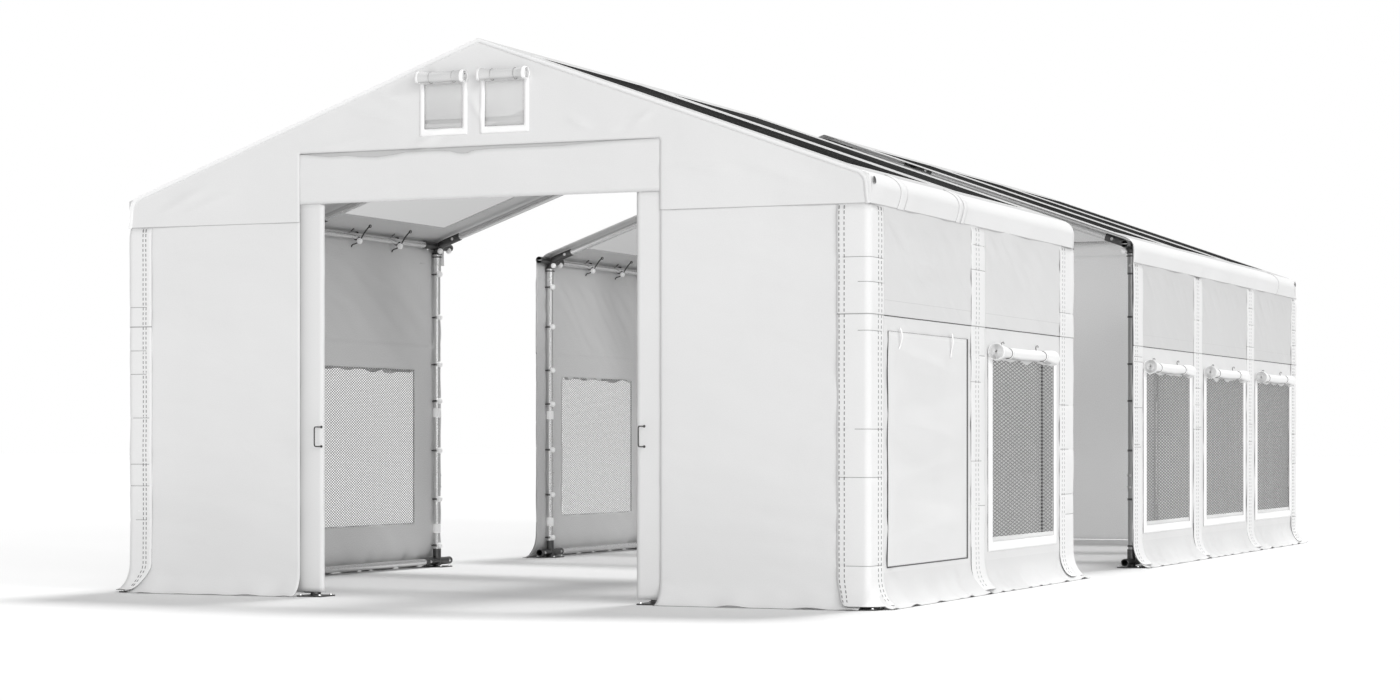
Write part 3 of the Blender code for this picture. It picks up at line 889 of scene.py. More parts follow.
class Finishes:
    """Every material of the tent."""

    def __init__(self) -> None:
        """Build the shared effects and the materials on them."""
        effects = Effects()
        self.wall = Cloth("wall_cloth", 0.80).make(effects)
        # A little darker than the wall: painted shade on the swept skirt
        self.skirt = Cloth("skirt_cloth", 0.77).make(effects)
        # Upper wall panels darker than the lower ones: painted shade under the valance, deeper at the rear
        self.upper = {name: Cloth(f"upper_cloth_{name}", tone).make(effects)
                      for name, tone in (("front", 0.745), ("rear", 0.68))}
        self.cover = Cloth("cover_cloth", 0.80, folds=0.5).make(effects)
        self.front = Cloth("end_cloth", 0.84).make(effects)
        self.roof = Cloth("roof_cloth", 0.84, folds=0.25).make(effects)
        # Darker roof slopes and door-band lining: painted shade
        self.slope = Cloth("roof_slope_cloth", 0.60, folds=0.25).make(effects)
        self.rim = Cloth("roof_rim", 0.96, folds=0.0, drift=0.0).make(effects)
        self.lining = Cloth("cloth_back", 0.71, fleck=0.10, weave=0.12, drift=0.03).make(effects)
        # Rear lining is brighter and glows: painted light for the sun that shines through the cloth
        self.sunlit_back = Cloth("sunlit_cloth_back", 0.78, fleck=0.08, drift=0.03, glow=0.20).make(effects)
        self.strip = Cloth("strip_cloth", 0.88, folds=0.15, marked=0.42).make(effects)
        self.jamb = Cloth("jamb_cloth", 0.84, folds=0.15, marked=0.42).make(effects)
        # Trim glows a little: painted light
        self.trim = Cloth("white_trim", 0.97, folds=0.0, drift=0.0, rough=0.4, glow=0.08).make(effects)
        # Darker line above the lap hem, and cut edges of walls, straps and bands darkened as painted shade
        self.binding = Cloth("hem_binding", 0.62, folds=0.0, drift=0.01).make(effects)
        # Darker line for valance hems, the underside of rolls and cut edges: painted shade
        self.seam = Cloth("seam_line", 0.60, folds=0.0, drift=0.01).make(effects)
        # Darker line in creases and under the lap of the cover strips: painted shade
        self.fold = Cloth("fold_line", 0.40, folds=0.0, drift=0.0).make(effects)
        # Dark cut edges that outline sheets and bands: painted shade
        self.edge = Cloth("cut_edge", 0.34, folds=0.0, drift=0.0).make(effects)
        # Near black: painted shadow under laps, strips and the closed flap, and in the eyelet holes; also the
        # rear door's zip
        self.gap = Cloth("dark_edge", 0.07, folds=0.0, drift=0.0).make(effects)
        self.roll = Cloth("rolled_cloth", 0.90, folds=0.1).make(effects)
        self.foil_roll = Cloth("rolled_foil", 0.72, folds=0.2, rough=0.25).make(effects)
        # Webbing glows a little: painted light
        self.webbing = Cloth("webbing", 0.96, pitch=0.004, weave=0.3, folds=0.0, glow=0.08).make(effects)
        self.thread = Cloth("thread", 0.20, pitch=0.003, weave=0.4, folds=0.0).make(effects)
        self.pale_thread = Cloth("pale_thread", 0.42, pitch=0.003, weave=0.4, folds=0.0).make(effects)
        self.elastic = Cloth("elastic_cord", 0.04, pitch=0.003, weave=0.5, folds=0.0).make(effects)
        # Ball plastic glows a little: painted light in the shaded inside
        self.plastic = Cloth("ball_plastic", 0.95, weave=0.0, folds=0.0, rough=0.3, glow=0.10).make(effects)
        self.net = {Side.RIGHT: Net("window_net_right", wide=0.097, high=0.0238).make(effects),
                    Side.LEFT: Net("window_net_left", wide=0.0355, high=0.0197).make(effects)}
        self.foil = Foil("skylight_foil", fade=5.5).make(effects)
        self.pane = Foil("gable_foil", tone=0.80, clear=0.45, gloss=0.1).make(effects)
        self.tube = Metal("zinc_tube", 0.80, 0.24, unevenness=0.01).make(effects)
        # Darker tube for the posts and sleeve legs on the right side: painted shade
        self.dull_tube = Metal("dull_zinc_tube", 0.40, 0.30, unevenness=0.01).make(effects)
        self.fitting = Metal("zinc_fitting", 0.12, 0.38, unevenness=0.1, bump=0.02).make(effects)
        self.bright = Metal("bright_zinc", 0.85, 0.22).make(effects)
        self.wire = Metal("dark_wire", 0.10, 0.40, unevenness=0.2).make(effects)


# Pieces


def show(piece: Thing, slot: str, *nodes: str) -> Thing:
    """Tie a finished piece to the tent's body and report it.

    Args:
        piece: the object.
        slot: material slot of the record; not used.
        nodes: CAD nodes that it stands for.

    Returns:
        The piece.
    """
    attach(piece, "root")
    if nodes:
        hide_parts(*nodes)
    log.info("%s: %d faces%s", piece.name, len(piece.data.polygons),
             f", stands for {', '.join(nodes)}" if nodes else "")
    return piece


def show_sheet(piece: Thing, flat: Pair, held: str, rests_on: str,
               *nodes: str, area: float | None = None, slot: str = "white_fabric") -> None:
    """Tie a sheet to the tent's body and report it.

    Args:
        piece: the object.
        flat: width and length of the cloth laid flat; not used.
        held: how it is held; not used.
        rests_on: piece that it touches; not used.
        nodes: CAD nodes that it stands for.
        area: area of the cloth where it isn't a full rectangle; not used.
        slot: material slot of the record.
    """
    show(piece, slot, *nodes)


@dataclass(frozen=True)
class Section:
    """One covered part of the tent."""
    name: str
    lines: tuple[float, ...]
    end: End
    starts: dict[Side, Pair]
    roof_y: Pair

    @property
    def end_line(self) -> float:
        """Frame line that carries the gable."""
        return self.lines[0] if self.end is End.FRONT else self.lines[-1]

    @property
    def open_line(self) -> float:
        """Frame line beside the open bay."""
        return self.lines[-1] if self.end is End.FRONT else self.lines[0]

    def beside(self, side: Side) -> str:
        """Section and side, as in the nodes' names."""
        return f"{self.name}_{side.label}"

    @property
    def bays(self) -> list[Pair]:
        """Pairs of neighbouring frame lines."""
        return list(zip(self.lines[:-1], self.lines[1:]))


WALL_END = END_Y - LAYER - WALL_INSET
FRONT = Section("front", (-END_FRAME_Y, -3.966, -1.966), End.FRONT,
                {Side.LEFT: (-WALL_END, -1.84), Side.RIGHT: (-WALL_END, -1.77)},
                (-END_Y - 0.005, -1.77))
REAR = Section("rear", (0.0, 2.0, 4.0, END_FRAME_Y), End.REAR,
               {Side.LEFT: (-0.175, WALL_END), Side.RIGHT: (-0.10, WALL_END)},
               (-0.10, END_Y + 0.005))


def rafter(x: float, y: float) -> Array:
    """Point on the rafters' axis."""
    return np.array((x, y, AXIS_RIDGE_Z - SLOPE * abs(x)))


def rail_sleeve(shell: Shell, section: Section, centre: Point, reach: float,
                finish: int = 0) -> Pair:
    """Sleeve along the tent at a frame line, an empty socket on the side of the open bay.

    Args:
        shell: takes the sleeve.
        section: part of the tent that the frame line belongs to.
        centre: where the axes cross.
        reach: length to each side; behind a gable the sleeve has only a short nose.
        finish: number of the finish.

    Returns:
        Ends of the sleeve along the tent.
    """
    x, y, z = centre
    low = y - (NOSE if y == -END_FRAME_Y else reach)
    high = y + (NOSE if y == END_FRAME_Y else reach)
    if y != section.open_line:
        tube(shell, (x, low, z), (x, high, z), RAIL_SLEEVE_R, 24, finish)
    else:
        start, way = (low, 1) if section.end is End.FRONT else (high, -1)
        open_sleeve(shell, (x, start, z), (0, way, 0), high - low, RAIL_SLEEVE_R, BORE_R, BORE_DEPTH,
                    finish)
    return low, high


@dataclass
class RoofSteel:
    """Rafters, rails and connectors of one section."""
    section: Section
    finishes: Finishes
    corner_round: float = 0.07
    ridge_round: float = 0.10
    web_r: float = 0.004
    collar_r: float = 0.015
    leg_top: float = 2.395
    leg_bolt: float = 2.30
    bolt_reach: float = 0.155

    def tubes(self) -> Thing:
        """Rafter, rail and collar tubes."""
        shell = Shell()
        first, last = min(self.section.lines), max(self.section.lines)
        for side in (-1, 0, 1):
            low = rafter(side * POST_X, first)
            tube(shell, (low[0], first, low[2]), (low[0], last, low[2]), TUBE_R, 24)
        for y in self.section.lines:
            for side in Side:
                eave, ridge = rafter(side.value * POST_X, y), rafter(0, y)
                slope = unit(ridge - eave)
                tube(shell, eave + slope * 0.1, ridge - slope * 0.1, TUBE_R, 24)
        reach = (AXIS_RIDGE_Z - COLLAR_Z) / SLOPE
        end = self.section.end_line
        tube(shell, (-reach, end, COLLAR_Z), (reach, end, COLLAR_Z), self.collar_r, 20)
        piece = shell.build(f"roof_tubes_{self.section.name}", [self.finishes.tube])
        return show(piece, "galvanised_steel", f"roof_frame_{self.section.name}")

    def connectors(self) -> Thing:
        """Bent corner and ridge sleeves with the rail sleeves that cross them."""
        shell = Shell()
        for y in self.section.lines:
            ridge = rafter(0, y)
            for side in Side:
                eave = rafter(side.value * POST_X, y)
                slope = unit(ridge - eave)
                path = rounded_path([eave + slope * SLEEVE_REACH, eave, (eave[0], y, POST_SLEEVE_Z)],
                                    self.corner_round)
                sweep(shell, path, SLEEVE_R, (0, 1, 0), 24)
                # Legs on the right side take the darker tube finish: painted shade
                tube(shell, (eave[0], y, self.leg_top), (eave[0], y, POST_SLEEVE_Z),
                     SLEEVE_R + 0.0004, 24, 1 if side is Side.LEFT else 2)
                rail_sleeve(shell, self.section, eave, SLEEVE_REACH)
            path = rounded_path([rafter(-0.2, y), ridge, rafter(0.2, y)], self.ridge_round)
            sweep(shell, path, SLEEVE_R, (0, 1, 0), 24)
            rail_sleeve(shell, self.section, ridge, SLEEVE_REACH)
        look = self.finishes
        piece = shell.build(f"roof_connectors_{self.section.name}", [look.fitting, look.tube, look.dull_tube])
        return show(piece, "dark_steel", f"roof_frame_{self.section.name}")

    def bolts(self) -> Thing:
        """Bolt heads on the sleeves and the cross pins inside the open sockets."""
        shell = Shell()
        outward = -self.section.end.value
        for y in self.section.lines:
            ridge = rafter(0, y)
            for side in Side:
                eave = rafter(side.value * POST_X, y)
                slope = unit(ridge - eave)
                for face in (-1, 1):
                    if y == self.section.end_line and face == self.section.end.value:
                        continue
                    for centre in (eave + slope * self.bolt_reach, ridge - slope * self.bolt_reach,
                                   np.array((eave[0], y, self.leg_bolt))):
                        bolt(shell, centre + np.array((0, face * SLEEVE_R, 0)), (0, face, 0))
        for x in (-POST_X, 0, POST_X):
            centre = rafter(x, self.section.open_line + outward * (SLEEVE_REACH - 0.018))
            lathe(shell, [(0, 0), (self.web_r, 0), (self.web_r, 0.05), (0, 0.05)],
                  centre - np.array((0.025, 0, 0)), (1, 0, 0), 8)
            for y in self.section.lines:
                along = 1 if y != max(self.section.lines) else -1
                seat = rafter(x, y + along * self.bolt_reach)
                bolt(shell, seat - np.array((0, 0, RAIL_SLEEVE_R)), (0, 0, -1))
        piece = shell.build(f"roof_bolts_{self.section.name}", [self.finishes.bright])
        return show(piece, "galvanised_steel")

    def build(self) -> None:
        """Make every piece."""
        self.tubes()
        self.connectors()
        self.bolts()


@dataclass
class Post:
    """Upright tube with its splice sleeve, straps and ball loops."""
    number: int
    side: Side
    y: float
    finishes: Finishes
    splice: Pair = (0.58, 0.72)
    splice_r: float = 0.0275
    ball_heights: tuple[float, ...] = (2.24, 1.91, 1.55, 1.27, 0.892, 0.52, 0.165)
    strap_heights: tuple[float, ...] = (1.18, 0.295)

    @property
    def label(self) -> str:
        """Number and side, as in the node's name."""
        return f"{self.number}_{self.side.label}"

    def pole(self) -> Thing:
        """Tube, splice and the screws through it."""
        shell = Shell()
        x = self.side.value * POST_X
        low, high = self.splice
        lathe(shell, [(0, 0.13), (TUBE_R, 0.13), (TUBE_R, low), (self.splice_r - 0.001, low),
                      (self.splice_r, low + 0.001), (self.splice_r, high - 0.001),
                      (self.splice_r - 0.001, high), (TUBE_R, high), (TUBE_R, 2.25), (0, 2.25)],
              (x, self.y, 0), (0, 0, 1), 24)
        inwards = -self.side.value
        for height in (low + 0.033, high - 0.019):
            bolt(shell, (x, self.y - self.splice_r, height), (0, -1, 0), 0.006, 1)
            bolt(shell, (x + inwards * self.splice_r, self.y, height), (inwards, 0, 0), 0.006, 1)
        # Posts on the right side take the darker tube finish: painted shade
        tube_finish = self.finishes.tube if self.side is Side.LEFT else self.finishes.dull_tube
        piece = shell.build(f"pole_{self.label}", [tube_finish, self.finishes.bright])
        return show(piece, "galvanised_steel", f"post_{self.label}")

    def loops(self) -> Thing:
        """Elastic loops round the pole with a ball on each, and the woven straps."""
        shell = Shell()
        x = self.side.value * POST_X
        inwards = -self.side.value
        for height in self.ball_heights:
            for lift in (-0.004, 0.004):
                hoop(shell, (x, self.y, height + lift), 0.028, 0.003, 18)
            centre = (x + inwards * 0.036, self.y - 0.024, height) if self.side is Side.LEFT else \
                (x + inwards * 0.010, self.y + 0.040, height)
            ball(shell, centre, BALL_R)
            stub = (x - inwards * 0.024, self.y - 0.016, height)
            lathe(shell, [(0, 0), (0.004, 0), (0.004, 0.014), (0, 0.014)], stub, (-inwards, -0.2, 0), 8, 1)
        for height in self.strap_heights if self.side is Side.LEFT else ():
            lathe(shell, [(0, -0.035), (0.0262, -0.035), (0.0272, -0.033), (0.0272, 0.033),
                          (0.0262, 0.035), (0, 0.035)], (x, self.y, height), (0, 0, 1), 20, 2)
            lathe(shell, [(0, -0.03), (0.0005, -0.03), (0.0295, -0.029), (0.0295, 0.029), (0, 0.03)],
                  (x, self.y, height), (0, 0, 1), 7, 2)
        piece = shell.build(f"ball_loops_{self.label}",
                            [self.finishes.plastic, self.finishes.elastic, self.finishes.webbing])
        return show(piece, "white_fabric")

    def build(self) -> None:
        """Make every piece."""
        self.pole()
        self.loops()


@dataclass
class GroundSteel:
    """Feet and ground bars along one side of a section."""
    section: Section
    side: Side
    finishes: Finishes

    def build(self) -> Thing:
        """Make the bars and the feet as one piece."""
        shell = Shell()
        x = self.side.value * POST_X
        lines = self.section.lines
        tube(shell, (x, min(lines), GROUND_BAR_Z), (x, max(lines), GROUND_BAR_Z), TUBE_R, 24)
        for y in lines:
            foot(shell, x, y, 1, 2)
            low, high = rail_sleeve(shell, self.section, (x, y, GROUND_BAR_Z), FOOT_REACH, 1)
            for along in (-0.15, 0.15):
                if low < y + along < high:
                    bolt(shell, (x - self.side.value * RAIL_SLEEVE_R, y + along, GROUND_BAR_Z),
                         (-self.side.value, 0, 0), 0.007, 2)
        end = self.section.end_line
        inner = self.side.value * (DOOR_POST_X + FOOT_SOCKET_R)
        tube(shell, (x, end, GROUND_BAR_Z), (inner, end, GROUND_BAR_Z), TUBE_R, 24)
        tube(shell, (x, end, GROUND_BAR_Z), (x - self.side.value * FOOT_REACH, end, GROUND_BAR_Z),
             SLEEVE_R, 24, 1)
        name = self.section.beside(self.side)
        piece = shell.build(f"ground_bars_{name}",
                            [self.finishes.tube, self.finishes.fitting, self.finishes.bright])
        return show(piece, "galvanised_steel", f"ground_frame_{name}")


def foot(shell: Shell, x: float, y: float, plate_finish: int, bolt_finish: int) -> None:
    """Base plate, the socket on it with a welded fillet, and four anchor bolts.

    Args:
        shell: takes the foot.
        x, y: its middle.
        plate_finish, bolt_finish: numbers of the finishes.
    """
    rounded_plate(shell, (x, y), (0.09, 0.09), (0.0, 0.008), 0.012, plate_finish)
    lathe(shell, [(0, 0.004), (0.037, 0.004), (0.037, 0.010), (FOOT_SOCKET_R, 0.016),
                  (FOOT_SOCKET_R, FOOT_TOP - 0.001), (FOOT_SOCKET_R - 0.001, FOOT_TOP), (0, FOOT_TOP)],
          (x, y, 0), (0, 0, 1), 24, plate_finish)
    for across in (-0.068, 0.068):
        for along in (-0.068, 0.068):
            bolt(shell, (x + across, y + along, 0.008), (0, 0, 1), 0.009, bolt_finish)


@dataclass
class DoorSteel:
    """Posts on both sides of the doorway of one gable."""
    end: End
    finishes: Finishes
    post_top: float = 2.882

    def build(self) -> None:
        """Make each post with its foot."""
        look = self.finishes
        y = self.end.value * (END_Y - 3 * LAYER - FOOT_SOCKET_R)
        for side in Side:
            shell = Shell()
            x = side.value * DOOR_POST_X
            foot(shell, x, y, 1, 2)
            tube(shell, (x, y, 0.01), (x, y, self.post_top), TUBE_R, 24)
            name = f"{self.end.label}_{side.label}"
            piece = shell.build(f"door_pole_{name}", [look.tube, look.fitting, look.bright])
            show(piece, "galvanised_steel", f"door_post_{name}")


# Fabric


@dataclass(frozen=True)
class Hang:
    """Run of a hanging sheet: straight down, then swept onto the ground in a quarter ellipse."""
    bend_z: float
    flare: float
    floor: float = 0.0045
    steps: int = 12
    sweep: float = math.pi / 2

    def run(self, heights: Array) -> tuple[Array, Array, Array, Array, Array]:
        """Follow the sheet down.

        Args:
            heights: falling heights of the straight part, the last one at the bend.

        Returns:
            How far out and how high each row is, its normal outwards and upwards, and its
            distance from the top along the cloth.
        """
        angle = np.linspace(0, self.sweep, self.steps + 1)[1:]
        drop = self.bend_z - self.floor
        straight = np.zeros(len(heights))
        out = np.concatenate([straight, self.flare * (1 - np.cos(angle))])
        up = np.concatenate([heights, self.floor + drop * (1 - np.sin(angle))])
        size = np.hypot(np.cos(angle) * drop, np.sin(angle) * self.flare)
        normal_out = np.concatenate([straight + 1, np.cos(angle) * drop / size])
        normal_up = np.concatenate([straight, np.sin(angle) * self.flare / size])
        along = np.concatenate([[0.0], np.cumsum(np.hypot(np.diff(out), np.diff(up)))])
        return out, up, normal_out, normal_up, along

    def grid(self, heights: Array, across: Array) -> tuple[Array, ...]:
        """Places across and then what run gives, over a whole sheet, rows by columns each."""
        parts = [part[:, None] for part in self.run(heights)]
        return tuple(np.broadcast_arrays(across[None], *parts))


SIDE_HANG = Hang(0.20, 0.13)
STRIP_HANG = Hang(0.20, 0.13, steps=18, sweep=1.2)
CORNER_HANG = Hang(0.19, 0.115, steps=18, sweep=1.25)
END_HANG = Hang(0.15, 0.10)


@dataclass(frozen=True)
class Hole:
    """Rectangular opening in a sheet."""
    low: float
    high: float
    bottom: float
    top: float

    def size(self, margin: float = 0.0) -> Pair:
        """Width and height with a margin all round."""
        return self.high - self.low + 2 * margin, self.top - self.bottom + 2 * margin

    def grid(self, margin: float, step: float) -> tuple[Array, Array]:
        """Grid over the opening and a margin all round."""
        return sheet_grid([self.low - margin, self.high + margin],
                          [self.bottom - margin, self.top + margin], step)


def between(value: Array, low: float, high: float) -> Array:
    """Where a value lies in a range."""
    return (value > low) & (value < high)


def middles(grid: Array) -> Array:
    """Value in the middle of every quad."""
    return (grid[:-1, :-1] + grid[1:, 1:]) / 2


def holes_mask(across: Array, up: Array, holes: list[Hole]) -> Array:
    """Which quads of a sheet stay, with the openings left out.

    Args:
        across, up: the sheet's grid.
        holes: its openings.

    Returns:
        One flag for each quad.
    """
    cut = [between(middles(across), hole.low, hole.high) & between(middles(up), hole.bottom, hole.top)
           for hole in holes]
    return ~np.any(cut, axis=0)


def frame_band(name: str, place: Callable[[Array, Array], Array], hole: Hole, finish: Material,
               outward: Point, width: Pair, foot: float, gap: float,
               edge: Material) -> Thing:
    """U-shaped welded band round an opening: both sides and the bottom.

    Args:
        name: name of the piece.
        place: puts (across, up) onto the sheet's outer side.
        hole: the opening.
        finish: material.
        outward: side that the band faces.
        width: widths of the upright parts.
        foot: width of the bottom part.
        gap: how far below the opening the bottom part starts.
        edge: material of its cut edges.

    Returns:
        The band.
    """
    step = 0.02
    across, up = sheet_grid([hole.low - width[0], hole.low, hole.high, hole.high + width[1]],
                            [hole.bottom - gap - foot, hole.bottom - gap, hole.top + step], step)
    inner = Hole(hole.low, hole.high, hole.bottom - gap, math.inf)
    shell = Shell().add(place(across, up), holes_mask(across, up, [inner]),
                        cloth=(across, up))
    return shell.build(name, [finish], outward, 0.004, back=finish, edge=edge)


@dataclass(frozen=True)
class RolledFlap:
    """Sheet rolled into a spiral, pinched by its ties and flared at its ends."""
    length: float
    cut: float
    outer_r: float
    pinch: float
    ties: Pair
    flares: tuple[Pair, Pair]
    wall: float = 0.003
    droop: float = 0.012
    grip: float = 0.05
    inset: float = 0.0

    def scale(self, place: Array) -> Array:
        """Radius along the roll, as a share: bells taken off at the ties and added at both ends.

        Args:
            place: distance along the roll from its middle.

        Returns:
            Share of the outer radius.
        """
        share = np.ones_like(place)
        for tie in self.ties:
            share = share - self.pinch * np.exp(-((place - tie) / self.grip) ** 2)
        for sign, (size, reach) in zip((1, -1), self.flares):
            share = share + size * np.exp(-((self.length / 2 - self.inset + sign * place) / reach) ** 2)
        return share

    def lead(self, place: Array) -> Array:
        """How far the flares push the roll away from the wall."""
        return self.outer_r * np.maximum(self.scale(place) - 1, 0)

    def fall(self, place: Array) -> Array:
        """How far the roll sags between its ties and past the far one."""
        between_ties = np.cos(np.clip(place / self.ties[1], -1, 1) * math.pi / 2)
        return self.droop * (0.5 * between_ties + ramp(place, self.ties[1], self.length / 2))

    def build(self, name: str, centre: Point, along: Point,
              outward: Point, finishes: list[Material],
              seed: int, end_share: float = 0.0) -> Thing:
        """Make the roll.

        The spiral's radius falls evenly from the outside to the core, so its turns lie one pitch
        apart.

        Args:
            name: name of the piece.
            centre: middle of the roll.
            along: axis of the roll.
            outward: side away from the wall, where the free edge shows.
            finishes: for the middle, the ends and the underside, which is darker as painted shade.
            seed: makes the draw repeatable.
            end_share: length of each end that takes the second finish.

        Returns:
            The rolled sheet.
        """
        core = 0.15 * self.outer_r
        turns = self.cut / (math.pi * (self.outer_r + core))
        angle = np.linspace(0, TURN * turns, int(turns * 15))
        radius = np.linspace(self.outer_r, core, len(angle))
        half = self.length / 2
        marks = [tie + step * self.grip for tie in self.ties for step in (-1, -0.5, 0, 0.5, 1)]
        ends = [sign * (half - inset) for sign in (-1, 1) for inset in (0.0, 0.01, 0.02)]
        place = spread(sorted([*ends, *marks]), 0.05)
        angle, place = np.meshgrid(angle, place, indexing="ij")
        wobble = 1 + 0.04 * ripples(place, angle * 0.02, seed, 0.30, 0.2, 0.5)
        reach = radius[:, None] * self.scale(place) * wobble
        axis, out, up = unit(along), unit(outward), np.array((0.0, 0.0, 1.0))
        points = (np.asarray(centre) + place[..., None] * axis
                  + (reach * np.cos(angle - 0.9) + self.lead(place))[..., None] * out
                  + (reach * np.sin(angle - 0.9) - self.fall(place))[..., None] * up)
        outer, along_roll = middles(angle), np.abs(middles(place))
        ends = ((along_roll > half - end_share) & (outer < TURN)).astype(int)
        # The underside of the middle takes the third finish, darker: painted shade
        if len(finishes) > 2:
            ends[between(outer, 4.95, 6.2) & (along_roll < half - 0.09)] = 2
        shell = Shell().add(points, cloth=(place, angle * self.outer_r), finish=ends)
        direction = points[0].mean(0) - np.asarray(centre)
        return shell.build(name, finishes, tuple(direction), self.wall, sharp=60.0)

    def bind(self, shell: Shell, centre: Point, along: Point,
             outward: Point, rings: tuple[tuple[float, float, int], ...]) -> None:
        """Rings round the roll at each tie.

        Args:
            shell: takes the rings.
            centre, along, outward: as for the roll.
            rings: shift along the roll, thickness and finish number of each ring.
        """
        angle = np.arange(26)[:, None] * TURN / 26
        axis, out, up = unit(along), unit(outward), np.array((0.0, 0.0, 1.0))
        for tie in self.ties:
            for shift, thick, number in rings:
                place = np.array(tie + shift)
                reach = self.outer_r * self.scale(place) + thick * 0.4
                path = np.asarray(centre) + place * axis + self.lead(place) * out - self.fall(place) * up \
                    + reach * (np.cos(angle) * out + np.sin(angle) * up)
                sweep(shell, path, thick, along, 6, True, number)


@dataclass
class SideWall:
    """Side of one section: wall sheet, nets, window bands and the rolled window flaps."""
    section: Section
    side: Side
    finishes: Finishes
    closed_bays: tuple[int, ...] = ()
    band: Pair = (0.098, 0.075)
    foot: float = 0.06
    foot_gap: float = 0.03
    roll_z: float = 1.535
    roll_shift: float = -0.175
    window_wave: float = 0.026
    closed_flap: Hole = Hole(-5.69, -4.215, 0.235, 1.60)
    pulls: tuple = (
        ((-5.80, 2.14), (-4.10, 2.18), 0.026, 0.005), ((-5.80, 2.00), (-4.10, 2.03), 0.024, 0.007),
        ((-5.75, 1.91), (-4.20, 1.95), 0.022, -0.005), ((-5.70, 1.80), (-4.30, 1.83), 0.026, 0.005),
        ((-3.80, 2.26), (-2.80, 2.02), 0.026, 0.005), ((-3.75, 2.08), (-3.10, 1.90), 0.026, 0.005),
        ((-3.30, 2.22), (-2.30, 2.00), 0.028, 0.006))
    flap: RolledFlap = RolledFlap(1.27, 1.22, 0.041, 0.24, (-0.315, 0.465), ((0.38, 0.13), (0.42, 0.10)))

    @property
    def label(self) -> str:
        """Section and side, as in the nodes' names."""
        return self.section.beside(self.side)

    @property
    def outward(self) -> Point:
        """Direction away from the tent."""
        return (self.side.value, 0, 0)

    @property
    def windows(self) -> list[Hole]:
        """One opening in the middle of each bay."""
        return [Hole((near + far) / 2 - WINDOW_HALF, (near + far) / 2 + WINDOW_HALF, *WINDOW_Z)
                for near, far in self.section.bays]

    def slack(self, along: Array, up: Array, fall: Array) -> Array:
        """How far the wall stands off its plane: waves, the lap above the joint, ruffles below.

        Args:
            along, up: place and height on the wall.
            fall: distance from the top along the cloth.

        Returns:
            Distance outwards at every point.
        """
        seed = 11 + 7 * (self.side is Side.LEFT) + 3 * (self.section is REAR)
        soft = 0.0022 * ripples(along, up, seed, 0.38, 1.2, 0.35)
        drapes = (0.0016 + 0.0014 * (up > LAP_Z)) * ripples(along, up, seed + 1, 0.16, 0.95, 0.12)
        ruffle = ripples(along, fall * 0.3, seed + 2, 0.30, 0.0, 0.1)
        hem = ramp(fall, 2.20, 2.52)
        waves = soft + drapes
        for start, stop, width, height in self.pulls if self.section is FRONT else ():
            waves = waves + crease(along, up, start, stop, width, height)
        waves = waves * (1 - hem) * (1 - ramp(up, VALANCE_Z - 0.10, VALANCE_Z - 0.01))
        return waves + 0.0036 * (up > LAP_Z - 0.001) + hem * 0.010 * (ruffle - 0.2)

    def sheet(self) -> None:
        """Wall sheet with its openings and skirt."""
        start, stop = self.section.starts[self.side]
        marks = sorted({start, stop, *[edge for hole in self.windows for edge in (hole.low, hole.high)]})
        heights = spread([SIDE_HANG.bend_z, *WINDOW_Z, LAP_Z - LAP_SHADOW, LAP_Z, LAP_Z + 0.086,
                          LAP_Z + 0.089, VALANCE_Z, WALL_TOP_Z], 0.026)[::-1]
        along, out, row_up, normal_out, normal_up, down = SIDE_HANG.grid(heights, spread(marks, 0.035))
        off = self.slack(along, row_up, down)
        lift = row_up + normal_up * off
        for hole in self.windows:
            inside = ramp(along, hole.low, hole.low + 0.05) * ramp(-along, -hole.high, -hole.high + 0.05)
            wave = 0.5 + 0.5 * ripples(along, along * 0, 5, 0.5, 0.0, 0.0, 3)
            lift = lift - self.window_wave * inside * wave * (np.abs(row_up - hole.top) < 0.001)
        points = xyz(self.side.value * (SIDE_X - LAYER + out + normal_out * off), along,
                     np.maximum(lift, CLEAR))
        level = middles(row_up)
        # Finish 1 is the upper panel and 4 the skirt, both darker as painted shade; 2 is the line above the
        # lap hem, and 3 a near black band just under the lap, painted shadow
        number = np.select([level > LAP_Z + 0.089, level > LAP_Z + 0.086, level > LAP_Z,
                            level > LAP_Z - LAP_SHADOW, level < SIDE_HANG.bend_z], [1, 2, 1, 3, 4], 0)
        shell = Shell().add(points, holes_mask(along, row_up, self.windows),
                            cloth=(along, down), finish=number)
        look = self.finishes
        finishes = [look.wall, look.upper[self.section.name], look.binding, look.gap, look.skirt]
        piece = shell.build(f"wall_{self.label}", finishes, (self.side.value, 0, 0.3), 0.0032,
                            back=look.lining, edge=[*[look.binding] * 3, look.gap, look.edge])
        width, length = stop - start, float(down[-1, 0])
        cut = width * length - len(self.windows) * 2 * WINDOW_HALF * (WINDOW_Z[1] - WINDOW_Z[0])
        show_sheet(piece, (width, length), "hung", f"roof_tubes_{self.section.name}",
                   f"side_wall_{self.label}", area=cut)

    def on_wall(self, stand: float) -> Callable[[Array, Array], Array]:
        """Placing function of a flat detail that stands this far off the wall's outer plane."""
        plane = self.side.value * (SIDE_X - LAYER + stand)
        return lambda along, up: xyz(plane, along, up)

    def net(self, number: int, hole: Hole) -> None:
        """Net behind one opening.

        Args:
            number, hole: which opening.
        """
        margin = 0.003
        along, up = hole.grid(margin, 0.08)
        shell = Shell().add(self.on_wall(-LAYER)(along, up), cloth=(along, up))
        piece = shell.build(f"net_{self.label}_{number}", [self.finishes.net[self.side]], self.outward)
        show_sheet(piece, hole.size(margin), "stretched", f"wall_{self.label}",
                   f"window_net_{self.label}", slot="grey_net")

